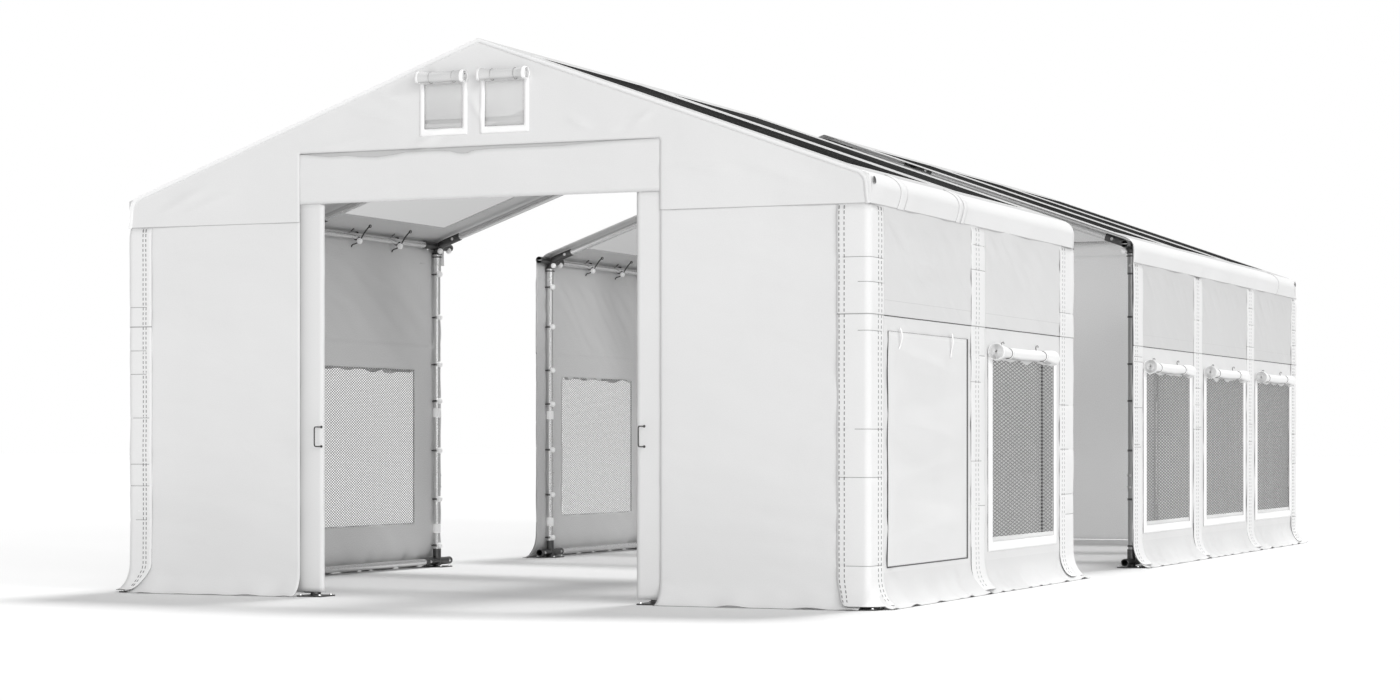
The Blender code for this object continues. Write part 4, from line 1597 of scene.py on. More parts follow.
    def roll(self, number: int, hole: Hole) -> None:
        """Rolled window flap over one opening, with its ties and the hooks that they hang from.

        Args:
            number, hole: which opening.
        """
        look = self.finishes
        middle = (hole.low + hole.high) / 2 + self.roll_shift
        centre = (self.side.value * (SIDE_X - LAYER + self.flap.outer_r + 0.004), middle, self.roll_z)
        seed = 60 + number + 10 * (self.side is Side.LEFT)
        piece = self.flap.build(f"window_roll_{self.label}_{number}", centre, (0, 1, 0), self.outward,
                                [look.roll, look.trim, look.seam], seed, 0.010)
        show_sheet(piece, (self.flap.length, self.flap.cut), "folded", f"wall_{self.label}",
                   f"side_wall_{self.label}")
        shell = Shell()
        self.flap.bind(shell, centre, (0, 1, 0), self.outward,
                       ((-0.015, 0.0035, 1), (-0.007, 0.005, 0), (0.004, 0.005, 0), (0.013, 0.0035, 1)))
        hook = np.array([(0.008, 0.040), (0.005, 0.056), (0.008, 0.068), (0.016, 0.072),
                         (0.022, 0.066), (0.020, 0.058)])
        for tie in self.flap.ties:
            path = xyz(self.side.value * (SIDE_X - LAYER + hook[:, 0]), middle + tie - 0.02,
                       self.roll_z + hook[:, 1])
            sweep(shell, path, 0.003, (0, 1, 0), 6, False, 1)
        show(shell.build(f"roll_ties_{self.label}_{number}", [look.webbing, look.thread]), "white_fabric")

    @staticmethod
    def sway(up: Array) -> Array:
        """How far the closed flap's free edges wave along the tent."""
        return 0.010 * ripples(up * 0, up, 8, 0.5, 1.57, 0.0)

    def cover(self) -> None:
        """Closed flap over the first opening."""
        low, high, bottom, top = astuple(self.closed_flap)
        hem = 0.012
        along, up = sheet_grid([low, low + hem, high - hem, high], [bottom, bottom + hem, top],
                               0.035, 0.03)
        edge = np.minimum(np.minimum(along - low, high - along), np.minimum(up - bottom, top - up))
        free = ramp(edge, 0.0, 0.10)
        puff = 0.008 * (1 + 0.8 * ripples(along, up, 91, 0.55, 1.35, 0.25))
        for level, slope, height in ((1.43, -0.10, 0.016), (1.20, 0.05, -0.010), (1.02, -0.06, 0.012),
                                     (0.80, 0.08, 0.015), (0.60, -0.05, -0.010), (0.42, 0.08, 0.013)):
            puff = puff + crease(along, up, (low - 0.2, level - slope), (high + 0.1, level + slope),
                                 0.045, height)
        place = self.on_wall(0.0055)(along, up)
        place[..., 0] += self.side.value * np.maximum(puff, 0.0) * free
        place[..., 1] += self.sway(up) * (1 - ramp(along, low, low + 0.10))
        shell = Shell().add(place, cloth=(along, up))
        look = self.finishes
        piece = shell.build("window_flap_right_1", [look.cover], self.outward, 0.0025, back=look.lining,
                            edge=look.edge)
        show_sheet(piece, self.closed_flap.size(), "hung", f"wall_{self.label}", "window_cover_right")

    def piping(self) -> None:
        """Near black sheet that shows round the closed flap: painted shadow of its edges."""
        low, high, bottom, top = astuple(self.closed_flap)
        along, up = sheet_grid([low - 0.006, high + 0.036], [bottom - 0.008, top + 0.002], 0.1)
        place = self.on_wall(0.0040)(along, up)
        place[..., 1] += self.sway(up) * (along < low)
        rim = Shell().add(place, cloth=(along, up))
        show(rim.build("flap_piping_right_1", [self.finishes.gap], self.outward, 0.0015), "grey_net")

    def straps(self) -> None:
        """Two loose straps on the closed flap."""
        shell, look = Shell(), self.finishes
        strap_top, strap_end = 1.625, 1.475
        width, height = np.meshgrid((-0.013, -0.005, 0.005, 0.013), np.linspace(strap_top, strap_end, 14))
        fall = strap_top - height
        for phase, along in enumerate((-5.53, -4.57)):
            y = along + 0.006 * np.sin(fall * 38 + phase * 2) + width + fall / 15
            x = SIDE_X + 0.018 + 0.010 * np.sin(fall * 30)
            shell.add(xyz(self.side.value * x, y, height))
        show(shell.build("flap_straps_right_1", [look.webbing], self.outward, 0.003, Grow.BOTH,
                         back=look.webbing, edge=look.binding), "white_fabric")

    def build(self) -> None:
        """Make every piece of this side."""
        self.sheet()
        look = self.finishes
        for number, hole in enumerate(self.windows, start=1):
            self.net(number, hole)
            if number in self.closed_bays:
                self.cover()
                self.piping()
                self.straps()
                continue
            band = frame_band(f"window_band_{self.label}_{number}", self.on_wall(0.006), hole, look.trim,
                              self.outward, self.band, self.foot, self.foot_gap, look.edge)
            show(band, "white_fabric")
            self.roll(number, hole)


Crease = tuple[float, float, float]


@dataclass
class CoverStrip:
    """Strip that covers a post on the outside, with its stitching.

    The strip follows a plan line: points (x, y) with the normals that face away from the tent. A
    crease is a height and the share of the width from which and to which it runs.
    """
    name: str
    plan: Array
    normals: Array
    finishes: Finishes
    hang: Hang
    stitch_lines: tuple[float, ...]
    seed: int
    creases: tuple[Crease, ...]
    thread: Material
    stand: float = 0.0050
    top: float = VALANCE_Z + 0.002
    spread_out: float = 0.0
    rounding: Pair = (0.06, 0.03)
    side_edge: Material | None = None
    wall: float = 0.0028
    fold: float = 0.0022
    pitch: float = 0.031
    dash: float = 0.021

    @property
    def steps(self) -> Array:
        """Distances of the plan's points along it."""
        return np.concatenate([[0.0], np.cumsum(np.linalg.norm(np.diff(self.plan, axis=0), axis=1))])

    def surface(self, across: Array, row: Array, heights: Array) -> Array:
        """Points of the strip.

        Args:
            across: distance along the plan line.
            row: row number down the strip, which may lie between rows.
            heights: heights of the straight part.

        Returns:
            Points shaped like across and row, by 3.
        """
        steps = self.steps
        profile = self.hang.run(heights)
        numbers = np.arange(len(profile[0]))
        out, up, normal_out, normal_up, fall = [np.interp(row, numbers, part) for part in profile]
        for radius, sign, far in zip(self.rounding, (1, -1), (across, steps[-1] - across)):
            rest = np.clip(1 - (profile[4][-1] - fall) / radius, 0, 1)
            bite = radius * (1 - np.sqrt(1 - rest ** 2))
            across = across + sign * bite * np.clip(1 - far / 0.10, 0, 1)
        x, y = (np.interp(across, steps, self.plan[:, axis]) for axis in (0, 1))
        nx, ny = (np.interp(across, steps, self.normals[:, axis]) for axis in (0, 1))
        share = across / steps[-1] * 2 - 1
        off = self.stand + 0.004 * (1 - share ** 4) + 0.0012 * ripples(across, up, self.seed, 0.4, 1.5, 0.3)
        off = off + 0.0024 * (up > LAP_Z - 0.001)
        for level, _, _ in self.creases:
            off = off - 0.0028 * np.exp(-((up - level) / 0.006) ** 2)
        off = off * (1 - 0.75 * ramp(up, self.top - 0.02, self.top))
        widen = self.spread_out * np.minimum(share, 0.0) * ramp(fall, profile[4][-1] - 0.20, profile[4][-1])
        reach = out + normal_out * off
        return xyz(x + nx * reach - ny * widen, y + ny * reach + nx * widen, up + normal_up * off)

    def build(self, rests_on: str) -> None:
        """Make the strip and its stitching on the piece that it lies on.

        Args:
            rests_on: name of that piece.
        """
        levels = [level for level, _, _ in self.creases]
        around = [level + shift for level in levels for shift in (-0.008, -self.fold, self.fold, 0.008)]
        heights = spread(sorted({self.hang.bend_z, LAP_Z - LAP_SHADOW, LAP_Z, self.top, *around}), 0.05)[::-1]
        fall = self.hang.run(heights)[4]
        width = self.steps[-1]
        across, row = np.meshgrid(spread(list(self.steps), 0.02), np.arange(len(fall)))
        points = self.surface(across, row, heights)
        level = middles(np.broadcast_to(self.hang.run(heights)[1][:, None], across.shape))
        share = middles(across) / width
        # Creases and the lap take the darker crease finish, and the cut edges darker finishes: all painted
        # shade, near black along the strip's foot
        dark = np.where(level > 0.30, 3, 0)
        for height, low, high in self.creases:
            dark[(np.abs(level - height) < self.fold) & between(share, low, high)] = 1
        dark[between(level, LAP_Z - LAP_SHADOW, LAP_Z)] = 2
        look = self.finishes
        shell = Shell().add(points, cloth=(across, np.interp(row, np.arange(len(fall)), fall)),
                            finish=dark)
        middle = self.normals[len(self.normals) // 2]
        piece = shell.build(f"strip_{self.name}", [look.strip, look.fold, look.fold, look.strip],
                            (*middle, 0.2), self.wall, back=look.lining,
                            edge=[look.gap, look.gap, look.gap, self.side_edge or look.seam])
        show_sheet(piece, (float(width), float(fall[-1])), "hung", rests_on)
        self.stitches(heights, fall, middle)

    def stitches(self, heights: Array, fall: Array, outward: Array) -> None:
        """Dashes of thread down the strip, each a low block with sloping sides.

        Args:
            heights: heights of the strip's straight part.
            fall: distance of each row from the top.
            outward: level direction away from the tent.
        """
        start = np.arange(0.01, fall[-1] - 0.05, self.pitch)
        shell = Shell()
        numbers = np.arange(len(fall))
        for line in self.stitch_lines:
            wide = self.thread_width(line)
            rows = [np.interp(start + shift, fall, numbers) for shift in (0.0, self.dash)]
            ends = [self.surface(np.full_like(part, line), part, heights) for part in rows]
            beside = self.surface(np.full_like(rows[0], line + 0.004), rows[0], heights)
            down = (ends[1] - ends[0]) / np.linalg.norm(ends[1] - ends[0], axis=1)[:, None]
            over = (beside - ends[0]) / np.linalg.norm(beside - ends[0], axis=1)[:, None]
            normal = np.cross(over, down)
            normal = normal * np.sign((normal[:, :2] * outward).sum(1))[:, None]
            loops = [np.stack([(ends[0] + ends[1]) / 2 + down * self.dash * size * a
                               + over * wide * size * b + normal * lift
                               for a, b in ((-0.5, -0.5), (-0.5, 0.5), (0.5, 0.5), (0.5, -0.5))], 1)
                     for size, lift in ((0.0, -0.001), (1.0, -0.001), (0.7, 0.0011), (0.0, 0.0011))]
            for block in np.stack(loops, 1):
                shell.add(block, ring=True)
        show(shell.build(f"stitching_{self.name}", [self.thread]), "white_fabric")

    def thread_width(self, line: float) -> float:
        """Width of the stitches of one line, wider on the part that lies along the side wall."""
        return 0.0062 if len(self.plan) > 2 and line < self.steps[1] else 0.0095


POST_CREASES = {-3.966: ((2.203, 0.1, 0.9), (2.046, 0.0, 1.0), (1.505, 0.5, 1.0), (1.337, 0.0, 0.7),
                         (0.837, 0.0, 0.75), (0.553, 0.45, 1.0)),
                -1.966: ((1.856, 0.0, 0.8), (1.215, 0.0, 0.6), (0.907, 0.0, 0.6), (0.593, 0.1, 0.9),
                         (0.453, 0.4, 1.0))}
CORNER_CREASES = {Side.RIGHT: ((2.014, 0.08, 0.95), (1.872, 0.3, 0.95), (1.594, 0.3, 0.9),
                               (1.031, 0.25, 0.97), (0.755, 0.05, 0.9), (0.249, 0.15, 0.9)),
                  Side.LEFT: ((1.813, 0.1, 0.5), (1.537, 0.1, 0.4), (1.388, 0.1, 0.5), (1.110, 0.05, 0.35),
                              (0.816, 0.05, 0.4), (0.678, 0.05, 0.42), (0.462, 0.1, 0.3))}


def flat_strip(section: Section, side: Side, y: float, low: float, high: float,
               finishes: Finishes, seed: int) -> CoverStrip:
    """Strip over the post at y in a side wall.

    Args:
        section, side, y: which post.
        low, high: edges along the tent.
        finishes: the tent's materials.
        seed: makes the creases repeatable.

    Returns:
        The strip.
    """
    plane = side.value * (SIDE_X - LAYER)
    draw = np.random.default_rng(seed).uniform((0.4, 0.0, 0.6), (2.2, 0.3, 1.0), (5, 3))
    creases = POST_CREASES.get(y, tuple(map(tuple, np.round(draw[draw[:, 0].argsort()], 3))))
    number = section.lines.index(y) + 1
    return CoverStrip(f"{section.name}_{side.label}_{number}", np.array([(plane, low), (plane, high)]),
                      np.array([(side.value, 0.0)] * 2), finishes, STRIP_HANG,
                      (0.05, 0.10) if y == section.open_line else (0.083, 0.14), seed, creases,
                      finishes.pale_thread)


def corner_strip(section: Section, side: Side, finishes: Finishes, seed: int) -> CoverStrip:
    """Strip that wraps a corner post from the gable end round to the side.

    Args:
        section, side: which corner.
        finishes: the tent's materials.
        seed: makes the waves repeatable.

    Returns:
        The strip.
    """
    sx, sy, bend = side.value, section.end.value, 0.030
    x, y = sx * (SIDE_X - LAYER), sy * (END_Y - LAYER)
    angle = np.linspace(0, math.pi / 2, 9)
    arc = np.stack([x - sx * bend * (1 - np.sin(angle)), y - sy * bend * (1 - np.cos(angle))], -1)
    reach, lines = (0.195, (0.015, 0.047)) if side is Side.RIGHT else (0.170, (0.041, 0.062))
    plan = np.concatenate([[(x - sx * reach, y)], arc, [(x, y - sy * 0.236)]])
    round_bend = np.stack([sx * np.sin(angle), sy * np.cos(angle)], -1)
    normals = np.concatenate([[(0.0, sy)], round_bend, [(sx, 0.0)]])
    turn = reach - bend + bend * math.pi / 2
    return CoverStrip(f"corner_{section.end.label}_{side.label}", plan, normals, finishes,
                      CORNER_HANG, (*lines, turn + 0.10, turn + 0.153), seed, CORNER_CREASES[side],
                      finishes.thread, 0.0054, spread_out=-0.045 if side is Side.RIGHT else 0.09,
                      rounding=(0.07, 0.03), side_edge=finishes.binding)


@dataclass
class RoofSheet:
    """Roof of one section over both slopes, with valances, skylights and gable rims."""
    section: Section
    finishes: Finishes
    rim: float = 0.026
    swell: float = 0.028
    square_swell: float = -0.008
    shoulder: float = 2.412
    slope_edge: float = 2.45
    bands: tuple[Pair, ...] = ((-5.541, -5.426), (-4.452, -4.370), (-4.355, -4.291), (5.06, 5.10))
    ribs: tuple[float, ...] = (1.99, 3.974)

    def profile(self, swell: float) -> tuple[Array, Array]:
        """Whole section from valance to valance, as (x, z) and normals.

        The slope turns down in a quadratic curve, and the valance swells out below it.

        Args:
            swell: how far the shoulder stands past the side.

        Returns:
            Points and normals, from the left valance over the ridge to the right one.
        """
        slope_x = spread([0.0, 0.02, 0.09, SKYLIGHT_X[0], SKYLIGHT_X[1], 2.28, 2.43], 0.10)
        slope = np.stack([slope_x, roof_height(np.sqrt(slope_x ** 2 + 0.006 ** 2))], -1)
        share = np.linspace(0, 1, 9)[1:, None]
        wide = SIDE_X + swell
        last = np.array((wide, self.shoulder))
        bend = (1 - share) ** 2 * slope[-1] + 2 * share * (1 - share) * np.array((wide, roof_height(wide))) \
            + share ** 2 * last
        fall = spread([VALANCE_Z, VALANCE_Z + HEM_SHADE, self.shoulder], 0.015)[-2::-1]
        drop = (self.shoulder - fall) / (self.shoulder - VALANCE_Z)
        line = np.concatenate([slope, bend, np.stack([wide - (swell - 0.003) * drop ** 1.5, fall], -1)])
        tangent = np.gradient(line, axis=0)
        normal = np.stack([-tangent[:, 1], tangent[:, 0]], -1)
        normal = normal / np.linalg.norm(normal, axis=1)[:, None]
        normal[0] = (0.0, 1.0)
        return (np.concatenate([line[:0:-1] * (-1, 1), line]),
                np.concatenate([normal[:0:-1] * (-1, 1), normal]))

    def sheet(self) -> None:
        """Cloth of the roof."""
        full, _ = self.profile(self.swell)
        square, square_facing = self.profile(self.square_swell)
        run = np.concatenate([[0.0], np.cumsum(np.linalg.norm(np.diff(full, axis=0), axis=1))])
        low, high = self.section.roof_y
        marks = {low, high, *self.section.lines,
                 *[edge for near, far in self.section.bays
                   for edge in (near + SKYLIGHT_FROM_FRAME, far - SKYLIGHT_FROM_FRAME)]}
        along = spread(sorted(marks), 0.04)
        cloth = self.skin(along)
        rows, steps = self.rim_rows(square, square_facing)
        if self.section.end is End.FRONT:
            cloth, along = np.concatenate([rows[::-1], cloth]), np.concatenate([low - steps[::-1], along])
        else:
            cloth, along = np.concatenate([cloth, rows]), np.concatenate([along, high + steps])
        width, length, height, across = np.broadcast_arrays(np.abs(full[:, 0]), along[:, None],
                                                            full[:, 1], run)
        holes = [Hole(near + SKYLIGHT_FROM_FRAME, far - SKYLIGHT_FROM_FRAME, *SKYLIGHT_X)
                 for near, far in self.section.bays]
        # Finish 1 is a darker band along the valance's lower edge, painted shade; finish 3 paints the slopes
        # darker as shade; finish 2 is the rim over the gable
        number = (middles(height) < VALANCE_Z + HEM_SHADE).astype(int)
        outside = (middles(length) < low) | (middles(length) > high)
        number[middles(width) < self.slope_edge] = 3
        number[outside] = 2
        shell = Shell().add(cloth, holes_mask(length, width, holes), finish=number,
                            cloth=(across, length))
        look, name = self.finishes, self.section.name
        piece = shell.build(f"roof_{name}", [look.roof, look.seam, look.rim, look.slope], (0, 0, 1), 0.0026,
                            back=look.lining, edge=[look.roof, look.edge, look.rim, look.roof])
        flat = (float(run[-1]), high - low + self.rim)
        open_length = sum(far - near - 2 * SKYLIGHT_FROM_FRAME for near, far in self.section.bays)
        cut = flat[0] * flat[1] - 2 * open_length * (SKYLIGHT_X[1] - SKYLIGHT_X[0]) / SLOPE_COS
        show_sheet(piece, flat, "stretched", f"roof_tubes_{name}", f"roof_sheet_{name}", area=cut)

    def skin(self, along: Array, stand: float = 0.0) -> Array:
        """Outer side of the cloth.

        The section is square at the gable, swells behind it and draws in again at the open end.

        Args:
            along: distances along the tent.
            stand: how far the points stand off the cloth.

        Returns:
            Points, one row for each distance.
        """
        full, facing = self.profile(self.swell)
        square, _ = self.profile(self.square_swell)
        y = np.broadcast_to(along[:, None], (len(along), len(full)))
        open_y = self.section.roof_y[self.section.end is End.FRONT]
        loose = ramp(np.abs(y - self.section.end.value * END_Y), 0.0, 0.22) \
            * (0.4 + 0.6 * ramp(np.abs(y - open_y), 0.0, 0.12))
        line = square + loose[..., None] * (full - square)
        off = self.wobble(y, full) + stand
        return xyz(line[..., 0] + facing[:, 0] * off, y, line[..., 1] + facing[:, 1] * off)

    def wobble(self, y: Array, full: Array) -> Array:
        """How far the hanging part stands off its profile.

        Args:
            y: distances along the tent.
            full: the section's points.

        Returns:
            Distance outwards at every point.
        """
        z = np.broadcast_to(full[:, 1], y.shape)
        hanging = ramp(-z, -2.50, -2.42) * (np.abs(full[:, 0]) > 2.4)
        low, high = self.section.roof_y
        ends = ramp(y, low, low + 0.06) * ramp(-y, -high, -high + 0.06)
        folds = 0.004 * ripples(y, z, 41 + len(self.section.lines), 0.55, 0.0, 0.2)
        for centre in self.ribs:
            folds = folds + 0.007 * np.exp(-((y - centre) / 0.06) ** 2)
        return hanging * ends * folds

    def straps(self) -> None:
        """Flat bands that lie round the shoulder of the roof and down its valance."""
        full, _ = self.profile(self.swell)
        first, last = self.section.roof_y
        for number, (low, high) in enumerate(self.bands, start=1):
            if not first < low < last:
                continue
            for side in Side:
                points = self.skin(spread([low, high], 0.03), 0.0042)[:, side.value * full[:, 0] > 2.36]
                piece = Shell().add(points).build(
                    f"valance_band_{number}_{side.label}", [self.finishes.roof], (side.value, 0, 0.3),
                    0.004, back=self.finishes.roof, edge=self.finishes.binding)
                show(piece, "white_fabric")

    def rim_rows(self, full: Array, facing: Array) -> tuple[Array, Array]:
        """Rows that turn the cloth down over the gable, and how far each lies past the roof's end.

        Args:
            full, facing: the section's points and normals.

        Returns:
            The rows, and their distances past the end.
        """
        end = self.section.end.value
        insets = np.array((0.001, 0.007, self.rim))
        rows = []
        for inset, stand in zip(insets, (0.0015, 0.0022, 0.0016)):
            flat = full - facing * inset
            rows.append(xyz(flat[:, 0], end * (END_Y + 0.001 + stand), flat[:, 1]))
        return np.stack(rows), insets + 0.003

    @staticmethod
    def round_skylight(low: float, high: float, margin: float, step: float) -> tuple[Array, Array]:
        """Grid over a skylight and a margin all round it.

        Args:
            low, high: its ends along the tent.
            margin: width of the margin.
            step: longest gap in the grid.

        Returns:
            Places across and along the tent.
        """
        near, far = SKYLIGHT_X
        return tuple(np.meshgrid(spread([near - margin, near, far, far + margin], step),
                                 spread([low - margin, low, high, high + margin], step)))

    def foils(self) -> None:
        """Clear foil in every skylight and the welded band round it."""
        margin, weld = 0.004, 0.03
        for number, (near, far) in enumerate(self.section.bays, start=1):
            low, high = near + SKYLIGHT_FROM_FRAME, far - SKYLIGHT_FROM_FRAME
            for side in Side:
                label = f"{self.section.name}_{side.label}_{number}"
                across, along = self.round_skylight(low, high, margin, 0.12)
                points = xyz(side.value * across, along, roof_height(across) - 0.0008 / SLOPE_COS)
                piece = Shell().add(points, cloth=(across, along)).build(
                    f"skylight_{label}", [self.finishes.foil], (0, 0, 1), 0.0015)
                wide = (SKYLIGHT_X[1] - SKYLIGHT_X[0] + 2 * margin) / SLOPE_COS
                show_sheet(piece, (wide, high - low + 2 * margin), "stretched", f"roof_{self.section.name}",
                           f"skylight_foil_{self.section.name}", slot="clear_foil")
                across, along = self.round_skylight(low, high, weld, 0.2)
                shell = Shell().add(xyz(side.value * across, along, roof_height(across) + 0.0007),
                                    holes_mask(along, across, [Hole(low, high, *SKYLIGHT_X)]),
                                    cloth=(across, along))
                show(shell.build(f"skylight_weld_{label}", [self.finishes.roof], (0, 0, 1), 0.0010),
                     "white_fabric")

    def eyelets(self) -> None:
        """Oval eyelet near the gable in each valance: a stitched rim round a near black disc, painted shade
        for the hole.
        """
        y, height = self.section.end.value * (END_Y - 0.072), 2.456
        turn, share = np.meshgrid(np.arange(20) * TURN / 20, (0.02, 0.8, 1.0), indexing="ij")
        for side in Side:
            flat = xyz(side.value * (SIDE_X + 0.0045), y + 0.023 * share * np.cos(turn),
                       height + 0.021 * share * np.sin(turn))
            lean = (flat[..., 2] - height) * 0.15
            flat[..., 0] -= side.value * lean
            shell = Shell().add(np.swapaxes(flat, 0, 1), ring=True)
            sweep(shell, flat[:, -1], 0.0022, (1, 0, 0), 6, True, 1)
            show(shell.build(f"valance_eyelet_{self.section.name}_{side.label}",
                             [self.finishes.gap, self.finishes.edge], (side.value, 0, 0)), "white_fabric")

    def build(self) -> None:
        """Make the roof of this section."""
        self.sheet()
        self.straps()
        self.foils()
        self.eyelets()


@dataclass
class GableEnd:
    """One gable: triangle with its valance, windows, end walls and doorway."""
    end: End
    finishes: Finishes
    edge: float = SIDE_X - 0.005
    roof_gap: float = 0.0046
    flap: RolledFlap = RolledFlap(0.326, 0.36, 0.036, 0.06, (-0.075, 0.081), ((0.20, 0.02), (0.20, 0.02)),
                                  0.003, 0.003, 0.028, 0.015)
    sag: tuple = (
        (-1.27, 0.0), (-1.10, 0.020), (-1.028, 0.027), (-0.922, 0.023), (-0.816, 0.036), (-0.711, 0.041),
        (-0.606, 0.033), (-0.502, 0.018), (-0.295, 0.018), (-0.192, 0.024), (-0.140, 0.040), (-0.085, 0.042),
        (-0.031, 0.025), (0.121, 0.020), (0.549, 0.021), (0.864, 0.006), (1.195, 0.0))
    pulls: tuple = (
        ((-0.85, 3.13), (-0.40, 3.00), 0.022, 0.007), ((-0.95, 3.00), (-0.40, 2.90), 0.024, 0.006),
        ((-0.36, 3.26), (-0.22, 3.16), 0.020, 0.005), ((-0.08, 3.08), (0.05, 2.86), 0.020, 0.007),
        ((-0.52, 2.72), (-0.20, 2.86), 0.022, 0.007), ((-0.44, 2.70), (-0.08, 2.88), 0.018, -0.005),
        ((-2.36, 2.36), (-1.82, 2.60), 0.030, 0.008), ((-2.28, 2.34), (-1.60, 2.56), 0.022, 0.005),
        ((-1.30, 2.76), (-0.55, 2.84), 0.022, 0.005), ((0.55, 2.90), (0.80, 2.80), 0.020, 0.006),
        ((0.95, 2.78), (1.20, 2.94), 0.020, 0.006), ((0.85, 2.76), (1.12, 2.86), 0.018, -0.005),
        ((1.22, 2.57), (1.75, 2.53), 0.020, 0.006), ((1.60, 2.62), (2.30, 2.40), 0.030, 0.005))

    @property
    def label(self) -> str:
        """Front or rear."""
        return self.end.label

    @property
    def outward(self) -> Point:
        """Direction away from the tent."""
        return (0, self.end.value, 0)

    def at(self, x: Array, z: Array, stand: Array | float) -> Array:
        """Points at (x, z) that stand this far off the gable's outer plane."""
        return xyz(x, self.end.value * (END_Y + stand), z)

    def cloth(self, name: str, x: Array, z: Array, stand: Array | float, outer: Material,
              wall: float = 0.003, **more: object) -> Thing:
        """Lined sheet across the end, its cut edges darker as painted shade.

        Args:
            name: name of the piece.
            x, z: grid across the end.
            stand: distance off the gable's outer plane.
            outer: material, or one for each finish.
            wall: thickness.
            more: what the shell takes besides.

        Returns:
            The sheet.
        """
        shell = Shell().add(self.at(x, z, stand), cloth=(x, z), **more)
        outers = outer if isinstance(outer, list) else [outer]
        return shell.build(name, outers, self.outward, wall, back=self.inner, edge=self.finishes.seam)

    @property
    def inner(self) -> Material:
        """Cloth of the end as it looks from inside the tent; the rear one glows, painted light."""
        return self.finishes.lining if self.end is End.FRONT else self.finishes.sunlit_back

    @property
    def windows(self) -> list[Hole]:
        """Both small openings."""
        return [Hole(x - width / 2, x + width / 2, *GABLE_WINDOW_Z) for x, width in GABLE_WINDOWS]

    def slack(self, x: Array, z: Array) -> Array:
        """How far the gable cloth stands off its plane: waves and pulls that die out at the roof.

        Args:
            x, z: places across and heights.

        Returns:
            Distance outwards at every point.
        """
        off = 0.0014 * ripples(x, z, 71 + self.end.value, 0.5, 1.1, 0.4)
        for start, stop, width, height in self.pulls:
            off = off + crease(x, z, start, stop, width, 1.5 * height)
        return off * ramp(roof_height(np.abs(x)) - self.roof_gap - z, 0.0, 0.10)

    def triangle(self) -> None:
        """Gable cloth, cut along the slopes and open at the windows and above the doorway."""
        left, right = -WALL_INNER[Side.LEFT], WALL_INNER[Side.RIGHT]
        marks_x = sorted({-self.edge, left, right, self.edge, 0.0,
                          *[edge for hole in self.windows for edge in (hole.low, hole.high)]})
        marks_z = [VALANCE_Z, VALANCE_Z + HEM_SHADE, NOTCH_Z, *GABLE_WINDOW_Z, ROOF_RIDGE_Z - 0.004]
        x, z = sheet_grid(marks_x, marks_z, 0.018)
        top = roof_height(np.abs(x)) - self.roof_gap
        flat = np.minimum(z, top)
        doorway = Hole(left, right, 0.0, NOTCH_Z)
        off = self.slack(x, flat)
        off = off - 0.0025 * np.exp(-((x - right) / 0.02) ** 2) * (z < NOTCH_Z + 0.001)
        # Darker band along the valance's lower edge: painted shade
        hem = middles(z) < VALANCE_Z + HEM_SHADE
        look = self.finishes
        piece = self.cloth(f"gable_cloth_{self.label}", x, flat, off,
                           [look.front, look.seam], 0.0035, finish=hem.astype(int),
                           keep=holes_mask(x, z, [*self.windows, doorway]))
        area = (RIDGE_Z - EAVE_Z) * self.edge + 2 * self.edge * (EAVE_Z - VALANCE_Z) \
            - (right - left) * (NOTCH_Z - VALANCE_Z) - sum((hole.high - hole.low) * (hole.top - hole.bottom)
                                                           for hole in self.windows)
        show_sheet(piece, (2 * self.edge, RIDGE_Z - VALANCE_Z), "stretched", f"roof_tubes_{self.label}",
                   f"gable_{self.label}", area=area)

    def window(self, number: int, hole: Hole, roll_x: float) -> None:
        """Pane, white band and rolled flap of one small window.

        Args:
            number, hole: which window.
            roll_x: middle of its rolled flap.
        """
        look = self.finishes
        margin = 0.012
        x, z = hole.grid(margin, 0.04)
        shell = Shell().add(self.at(x, z, -LAYER), cloth=(x, z))
        pane = shell.build(f"gable_pane_{self.label}_{number}", [look.pane], self.outward, 0.0015)
        show_sheet(pane, hole.size(margin), "stretched", f"gable_cloth_{self.label}",
                   f"gable_panes_{self.label}", slot="clear_foil")
        band = frame_band(f"gable_band_{self.label}_{number}",
                          lambda across, up: self.at(across, up, 0.0042 + self.slack(across, up)),
                          hole, look.trim, self.outward, (0.031, 0.031), 0.042, 0.0, look.trim)
        show(band, "white_fabric")
        middle = (roll_x, self.end.value * (END_Y + 0.040), 3.164)
        roll = self.flap.build(f"gable_roll_{self.label}_{number}", middle, (1, 0, 0), self.outward,
                               [look.foil_roll, look.trim], 80 + number, 0.036)
        show_sheet(roll, (self.flap.length, self.flap.cut), "folded", f"gable_cloth_{self.label}",
                   f"gable_{self.label}")
        shell = Shell()
        self.flap.bind(shell, middle, (1, 0, 0), self.outward, ((0.0, 0.0025, 0),))
        show(shell.build(f"gable_roll_ties_{self.label}_{number}", [look.pale_thread]), "white_fabric")

